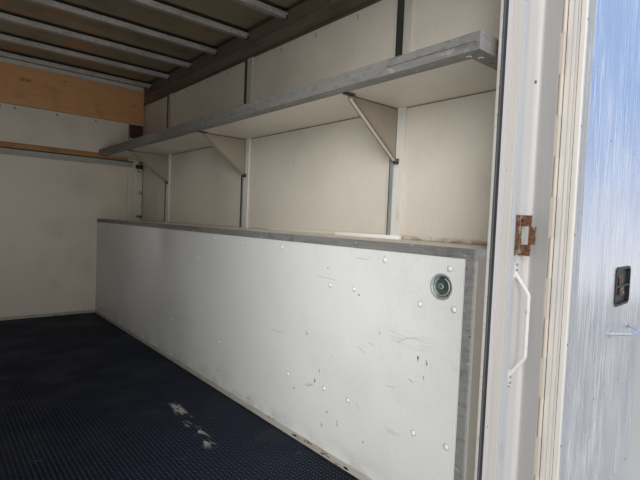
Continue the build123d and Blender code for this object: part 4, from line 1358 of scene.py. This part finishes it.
def locker_end_caps(surface):
    """The locker's edge angle carried on round its rear end, with two screws."""
    caps = Piece()
    top = high("locker_trims").z
    fold = top - 30 * MM
    near = (locker_x - 1.5 * MM, y_in - 1.5 * MM)
    caps.block((*near, fold), (edge_x - 2 * MM, y_in + MM, top), 0.5 * MM)
    caps.block((*near, floor_z + 30 * MM), (locker_x + 5 * MM, y_in + MM, fold), 0.5 * MM)
    for across in (14, 44):
        screw_head(caps, (locker_x + across * MM, near[1], top - 14 * MM), rearward, 3.5 * MM)
    caps.mirror().place("locker_end_caps", surface, "aluminium_plain")


def post_marks(rust, dark):
    """Rusted screws and holes on the faces of the rear posts."""
    screws = Piece()
    for x, up, sunk in ((941, 1334, 3), (889, 399, 0)):
        screw_head(screws, (x * MM, face_y - sunk * MM, floor_z + up * MM), rearward, 5 * MM)
    screws.mirror().place("post_rusty_screws", rust, "rusty_steel")
    holes = Piece()
    for x, up in ((858, 548), (800, 1050), (775, 300), (845, 1550)):
        holes.revolve(dome(2.4 * MM, 0.4 * MM), facing((x * MM, face_y, floor_z + up * MM), rearward), 10)
    holes.mirror().place("post_holes", dark, "latch_dark")


def fascia_marks(dark):
    """Mitre cut under the rear corner of the shelf trim, and a long scratch on its face."""
    marks = Piece()
    across, forward = 36 * MM, 43 * MM
    start = Matrix.Translation((locker_x + MM, shelf_y, shelf_z))
    turn = start @ Matrix.Rotation(math.atan2(forward, across), 4, "Z")
    marks.block((0, -0.7 * MM, -0.3 * MM), (math.hypot(forward, across), 0.7 * MM, MM), turn=turn)
    marks.near((locker_x, y_in, floor_z + 1391 * MM), (-0.3, 33, -0.8), (1, 364, 0.8))
    marks.mirror().place("shelf_trim_marks", dark, "latch_dark")


def hardware_screws(screw):
    """Screws of the keepers and grab handles."""
    screws = Piece()
    lower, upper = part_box("keeper_brackets")
    x = upper.x - 17 * MM
    for z in (lower.z + 14 * MM, upper.z - 14 * MM):
        screw_head(screws, (x, face_y - 3 * MM, z), rearward, 5.5 * MM)
    lower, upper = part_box("grab_handles")
    x = upper.x - 8 * MM
    for z in (lower.z + 9 * MM, lower.z + 26 * MM, upper.z - 26 * MM, upper.z - 9 * MM):
        screw_head(screws, (x, face_y - 3 * MM, z), rearward, 4.5 * MM)
    screws.mirror().place("post_hardware_screws", screw, "aluminium_plain")


def outer_rivets(surface):
    """Rivet rows down the outside of the wall posts and along the rails."""
    rivets = Piece()
    head = dome(5 * MM, 2.4 * MM)

    def rivet(y, z):
        rivets.revolve(head, facing((outer_x, y, z), outward), 8)

    verts = zip(coordinates("wall_posts_right", "x"), coordinates("wall_posts_right", "y"))
    post_ys = sorted({round(y, 3) for x, y in verts if x > outer_x - MM})
    z0 = high("bottom_rails").z + 30 * MM
    z1 = rail_z - 30 * MM
    count = int((rail_z - z0) / (76 * MM))
    for number, y in enumerate(post_ys):
        inset = -12 * MM if number % 2 else 12 * MM
        for i in range(count):
            rivet(y + inset, z0 + i * (z1 - z0) / (count - 1))
    y = y_in + 50 * MM
    while y < y_bulk:
        for up in (20, 75):
            rivet(y, rail_z + up * MM)
        y += 100 * MM
    rivets.mirror().place("side_rivets", surface, "outer_white")


def dress_nodes(finishes):
    """Gives each node of the frame its finish."""
    for finish, names in finishes:
        for name in names:
            node = frame["nodes"][name]
            node.data.materials.clear()
            node.data.materials.append(finish.material)


def stage_floor():
    data = bpy.data.meshes.new("stage_floor")
    reach = 9.0
    corners = [(x * reach, y * reach, 0) for x, y in ((-1, -1), (1, -1), (1, 1), (-1, 1))]
    data.from_pydata(corners, [], [(0, 1, 2, 3)])
    s = Surface("stage_floor", (206, 206, 206), 0.8)
    s.blotch((200, 200, 201), 0.6, 2.0, 0.3, 0.7, detail=2)
    data.materials.append(s.material)
    floor = linked("stage_floor", data)


def world(ambient):
    """White to the camera, soft even light on the rest, and in reflections a patch of pale sky."""
    made = bpy.data.worlds.new("studio")
    bpy.context.scene.world = made
    made.use_nodes = True
    nodes, links = made.node_tree.nodes, made.node_tree.links
    nodes.clear()

    def background(colour, strength):
        node = nodes.new("ShaderNodeBackground")
        node.inputs["Color"].default_value = (*colour, 1)
        node.inputs["Strength"].default_value = strength
        return node

    def mixed(factor, first, second):
        node = nodes.new("ShaderNodeMixShader")
        links.new(factor, node.inputs[0])
        links.new(first.outputs[0], node.inputs[1])
        links.new(second.outputs[0], node.inputs[2])
        return node

    def ramp(value, start, end):
        node = nodes.new("ShaderNodeMapRange")
        node.interpolation_type = "SMOOTHSTEP"
        links.new(value, node.inputs["Value"])
        node.inputs["From Min"].default_value = start
        node.inputs["From Max"].default_value = end
        return node.outputs["Result"]

    def joined(operation, first, second):
        node = nodes.new("ShaderNodeMath")
        node.operation = operation
        links.new(first, node.inputs[0])
        links.new(second, node.inputs[1])
        return node.outputs[0]

    path = nodes.new("ShaderNodeLightPath")
    white = background((1, 1, 1), 1.0)
    soft = background((0.96, 0.985, 1.0), ambient)
    sky = background((0.36, 0.55, 0.92), 1.0)
    direction = nodes.new("ShaderNodeTexCoord")
    split = nodes.new("ShaderNodeSeparateXYZ")
    links.new(direction.outputs["Generated"], split.inputs[0])
    side = ramp(split.outputs[0], 0.5, 0.85)
    height = ramp(split.outputs[2], -0.16, 0.26)
    bright_sky = background((1, 1, 1), 0.94)
    mirrored = mixed(joined("MULTIPLY", side, height), bright_sky, sky)
    shiny = mixed(path.outputs["Is Glossy Ray"], soft, mirrored)
    seen = joined("MAXIMUM", path.outputs["Is Camera Ray"], path.outputs["Is Transmission Ray"])
    whole = mixed(seen, shiny, white)
    out = nodes.new("ShaderNodeOutputWorld")
    links.new(whole.outputs[0], out.inputs[0])


def area_light(name, origin, target, size, power, colour=(1, 1, 1), diffuse=True, gloss=False):
    data = bpy.data.lights.new(name, "AREA")
    data.shape = "RECTANGLE"
    data.size, data.size_y = size
    data.energy = power
    data.color = colour
    data.spread = math.pi
    lamp = linked(name, data)
    lamp.location = origin
    lamp.rotation_euler = (Vector(target) - Vector(origin)).to_track_quat("-Z", "Y").to_euler()
    lamp.visible_camera = False
    lamp.visible_diffuse = diffuse
    lamp.visible_glossy = gloss


# Camera of the photograph, standing just behind the rear opening
camera_place = (-0.485, y_in - 0.6908, floor_z + 0.880)
camera_turn = (40.468, -2.319, 2.403)         # right, up and roll, in degrees
focal_px = 465.0
photo_w = 640.0
sensor_mm = 36.0


def photo_camera():
    """Stands the camera where the photograph was taken from, with its view."""
    yaw, pitch, roll = (math.radians(a) for a in camera_turn)
    ahead = Vector((math.sin(yaw), math.cos(yaw), 0))
    right = Vector((math.cos(yaw), -math.sin(yaw), 0))
    up = Vector((0, 0, 1))
    look = math.cos(pitch) * ahead + math.sin(pitch) * up
    rise = -math.sin(pitch) * ahead + math.cos(pitch) * up
    x = math.cos(roll) * right + math.sin(roll) * rise
    y = -math.sin(roll) * right + math.cos(roll) * rise
    data = bpy.data.cameras.new("photo_camera")
    data.sensor_width = sensor_mm
    data.lens = focal_px / photo_w * sensor_mm
    camera = linked("photo_camera", data)
    turn = Matrix((x, y, -look)).transposed().to_4x4()
    camera.matrix_world = Matrix.Translation(camera_place) @ turn
    bpy.context.scene.camera = camera


photo_camera()
stage_floor()
world(ambient=0.64)
key_place = (-6.05, -7.65, 4.05)
key_aim = (0.7, -1.2, 0.9)
key_size = (5.25, 4.5)
area_light("key", key_place, key_aim, key_size, power=640)
area_light("glints", key_place, key_aim, key_size, power=247, diffuse=False, gloss=True)
area_light("opening_fill", (-0.1, y_in + 0.04, 1.15), (0.0, 2.0, 0.95), (0.7, 1.2), 7.6, (0.97, 0.985, 1.0))
area_light("far_fill", (0.0, y_bulk - 1.4, 1.35), (0.0, y_bulk, 1.1), (1.1, 1.0), 1.2)

cream = lining("wall_cream")
shelf_cream = lining("shelf_cream", (224, 218, 204), plain=True)
bracket_cream = lining("bracket_cream", (206, 199, 186), plain=True)
plates = [bracket_cream.band("y", y - 0.4 * MM, y + 4.4 * MM, 0.2 * MM) for y in bracket_places()]
bracket_cream.lay(bracket_cream.any(*plates), (146, 134, 119), 0.9)
# The locker's rear end, in a darker beige: painted shade.
end_shade_beige = lining("end_shade_beige", (124, 118, 108), plain=True)
white_locker = locker_white()
white_bulkhead = bulkhead_white()
corner = lining("corner_cream")
post = post_grey()
wall_post = wall_post_paint()
lip = edge_lip()
profile = hinge_profile()
trim = worn_trim()
plain = aluminium("aluminium_plain", (196, 197, 198), 0.42, (1, 8, 1), (156, 156, 156), 7)
strip_metal = aluminium("bulkhead_strip", (176, 177, 166), 0.5, (8, 1, 1), (132, 131, 120), 17, 0.1)
pale_strip = Surface("floor_strip", (182, 178, 168), 0.5)
pale_strip.blotch((158, 150, 136), 0.7, 0.06, 0.45, 0.65, (1, 4, 1), detail=5)
pale_strip.blotch((70, 64, 58), 0.8, 0.04, 0.62, 0.7, (1, 3, 1), detail=5, seed=6)
pale_strip.bumps(0.2, 0.01, detail=3)
bright = spotted("strip_white", (246, 245, 240), 0.4, (224, 221, 212), 0.5, 0.06, 0.5, 0.7)
bright.bumps(0.2, 0.01, detail=3)
shaded_rail = rail_brown()
bow = bow_metal()
roof = roof_brown()
header_wood = wood("header_wood", (214, 162, 112), (184, 128, 82), "x", seed=3, strong=0.6)
smudge_x = header_wood.band("x", 75 * MM, 150 * MM, 12 * MM)
smudge_z = header_wood.band("z", floor_z + 1875 * MM, floor_z + 1900 * MM, 8 * MM)
header_wood.lay(header_wood.both(smudge_x, smudge_z, header_wood.cloud(0.012, 0.4, 0.55)), (84, 66, 48), 0.8)
strip_wood = wood("strip_wood", (184, 136, 84), (140, 96, 52), "x", seed=13)
boards = wood("wood_floor", (150, 118, 84), (98, 74, 52), "y", seed=8, board=0.14)
mat = rubber_mat()
seal = rubber_seal()
black = frame_black()
chrome = chrome_bar()
rust = rusty_steel()
worn_dark = rusty_steel("worn_dark", (84, 76, 70))
# Dark grey: painted shade in the wall posts' channels and the bulkhead's gaps, and worn metal at the bracket
# ends.
shade_and_wear_dark = spotted("shade_and_wear_dark", (58, 62, 60), 0.6, (40, 42, 38), 0.7, 0.04, 0.45, 0.65, (1, 1, 6))
# Grey: painted shade on the wall posts' channels and round the locker bolts, and scuffs on the locker.
shade_and_scuff_grey = spotted("shade_and_scuff_grey", (150, 154, 150), 0.5, (112, 116, 112), 0.7, 0.03, 0.45, 0.7, (1, 1, 8))
joint_brown = spotted("joint_brown", (70, 60, 50), 0.6, (46, 40, 34), 0.6, 0.02, 0.4, 0.7, detail=3)
cover_pale = Surface("cover_pale", (208, 208, 188), 0.45)
chips = cover_pale.cloud(0.018, 0.47, 0.55, (1, 1, 1.5), detail=5, seed=4)
worn_up = (0.85, 0.966, 1.068, 1.272)
worn_at = [cover_pale.band("z", floor_z + up - 14 * MM, floor_z + up + 14 * MM, 12 * MM) for up in worn_up]
cover_pale.lay(cover_pale.both(chips, cover_pale.any(*worn_at)), (70, 66, 52), 0.9)
pocket_brown = wood("pocket_brown", (112, 82, 54), (74, 52, 34), "x", seed=23)
skin = door_metal()
handle = handle_white()
latch = latch_dark()
ring = ring_metal()
red = lamp_red()
outer = outer_white()
bolt = bolt_white()
nick_and_shade = nick_and_shade_dark()
screw = screw_metal()

dress_nodes((
    (cream, ["side_panels_right", "side_panels_left", "locker_tops"]),
    (corner, ["front_corner_posts"]),
    (shelf_cream, ["shelf_panels", "ledge_strips"]),
    (bracket_cream, ["shelf_brackets"]),
    (end_shade_beige, ["locker_ends"]),
    (white_locker, ["locker_front_right", "locker_front_left"]),
    (white_bulkhead, ["bulkhead_lower_panel", "bulkhead_upper_panel"]),
    (strip_metal, ["bulkhead_rail"]),
    (wall_post, ["wall_posts_right", "wall_posts_left"]),
    (post, ["rear_post_right", "rear_post_left", "rear_header"]),
    (lip, ["opening_lip"]),
    (profile, ["door_frame_right", "door_frame_left"]),
    (trim, ["locker_trims", "shelf_trims"]),
    (plain, ["bottom_rails", "rear_sill"]),
    (pale_strip, ["base_trims"]),
    (shaded_rail, ["top_rails"]),
    (bow, ["roof_bows"]),
    (roof, ["roof_skin"]),
    (header_wood, ["bulkhead_wood_header"]),
    (strip_wood, ["bulkhead_wood_strip"]),
    (boards, ["floor_boards"]),
    (mat, ["floor_mat"]),
    (seal, ["opening_seal"]),
    (black, ["long_sills", "crossmembers"]),
    (chrome, ["door_pull_bar_right", "door_pull_bar_left"]),
    (rust, ["keeper_brackets"]),
    (skin, ["door_skin_right", "door_skin_left"]),
    (handle, ["grab_handles"]),
    (latch, ["door_latch_right", "door_latch_left"]),
    (red, ["rear_lamps"]),
    (outer, ["front_wall"]),
    (ring, ["locker_rings"]),
))

locker_fasteners(bolt, nick_and_shade, screw, shade_and_scuff_grey)
locker_scratches(joint_brown, shade_and_scuff_grey)
wall_fasteners(screw)
shelf_fasteners(screw, bright, nick_and_shade)
bow_brackets(bow, nick_and_shade)
rail_steps(shaded_rail)
mat_pattern(mat)
ring_pulls(ring, nick_and_shade)
hardware_screws(screw)
leaf_details(nick_and_shade, worn_dark)
joint_lines(nick_and_shade, pocket_brown)
post_channel_shades(shade_and_wear_dark, shade_and_scuff_grey, cream)
bracket_lines(joint_brown, shade_and_wear_dark)
bulkhead_corner(strip_metal, shade_and_wear_dark, cover_pale)
outer_handles(latch, plain)
ledge_blocks(bright)
locker_end_caps(trim)
post_marks(rust, nick_and_shade)
fascia_marks(nick_and_shade)
outer_rivets(outer)

bpy.context.scene.view_settings.view_transform = "Standard"
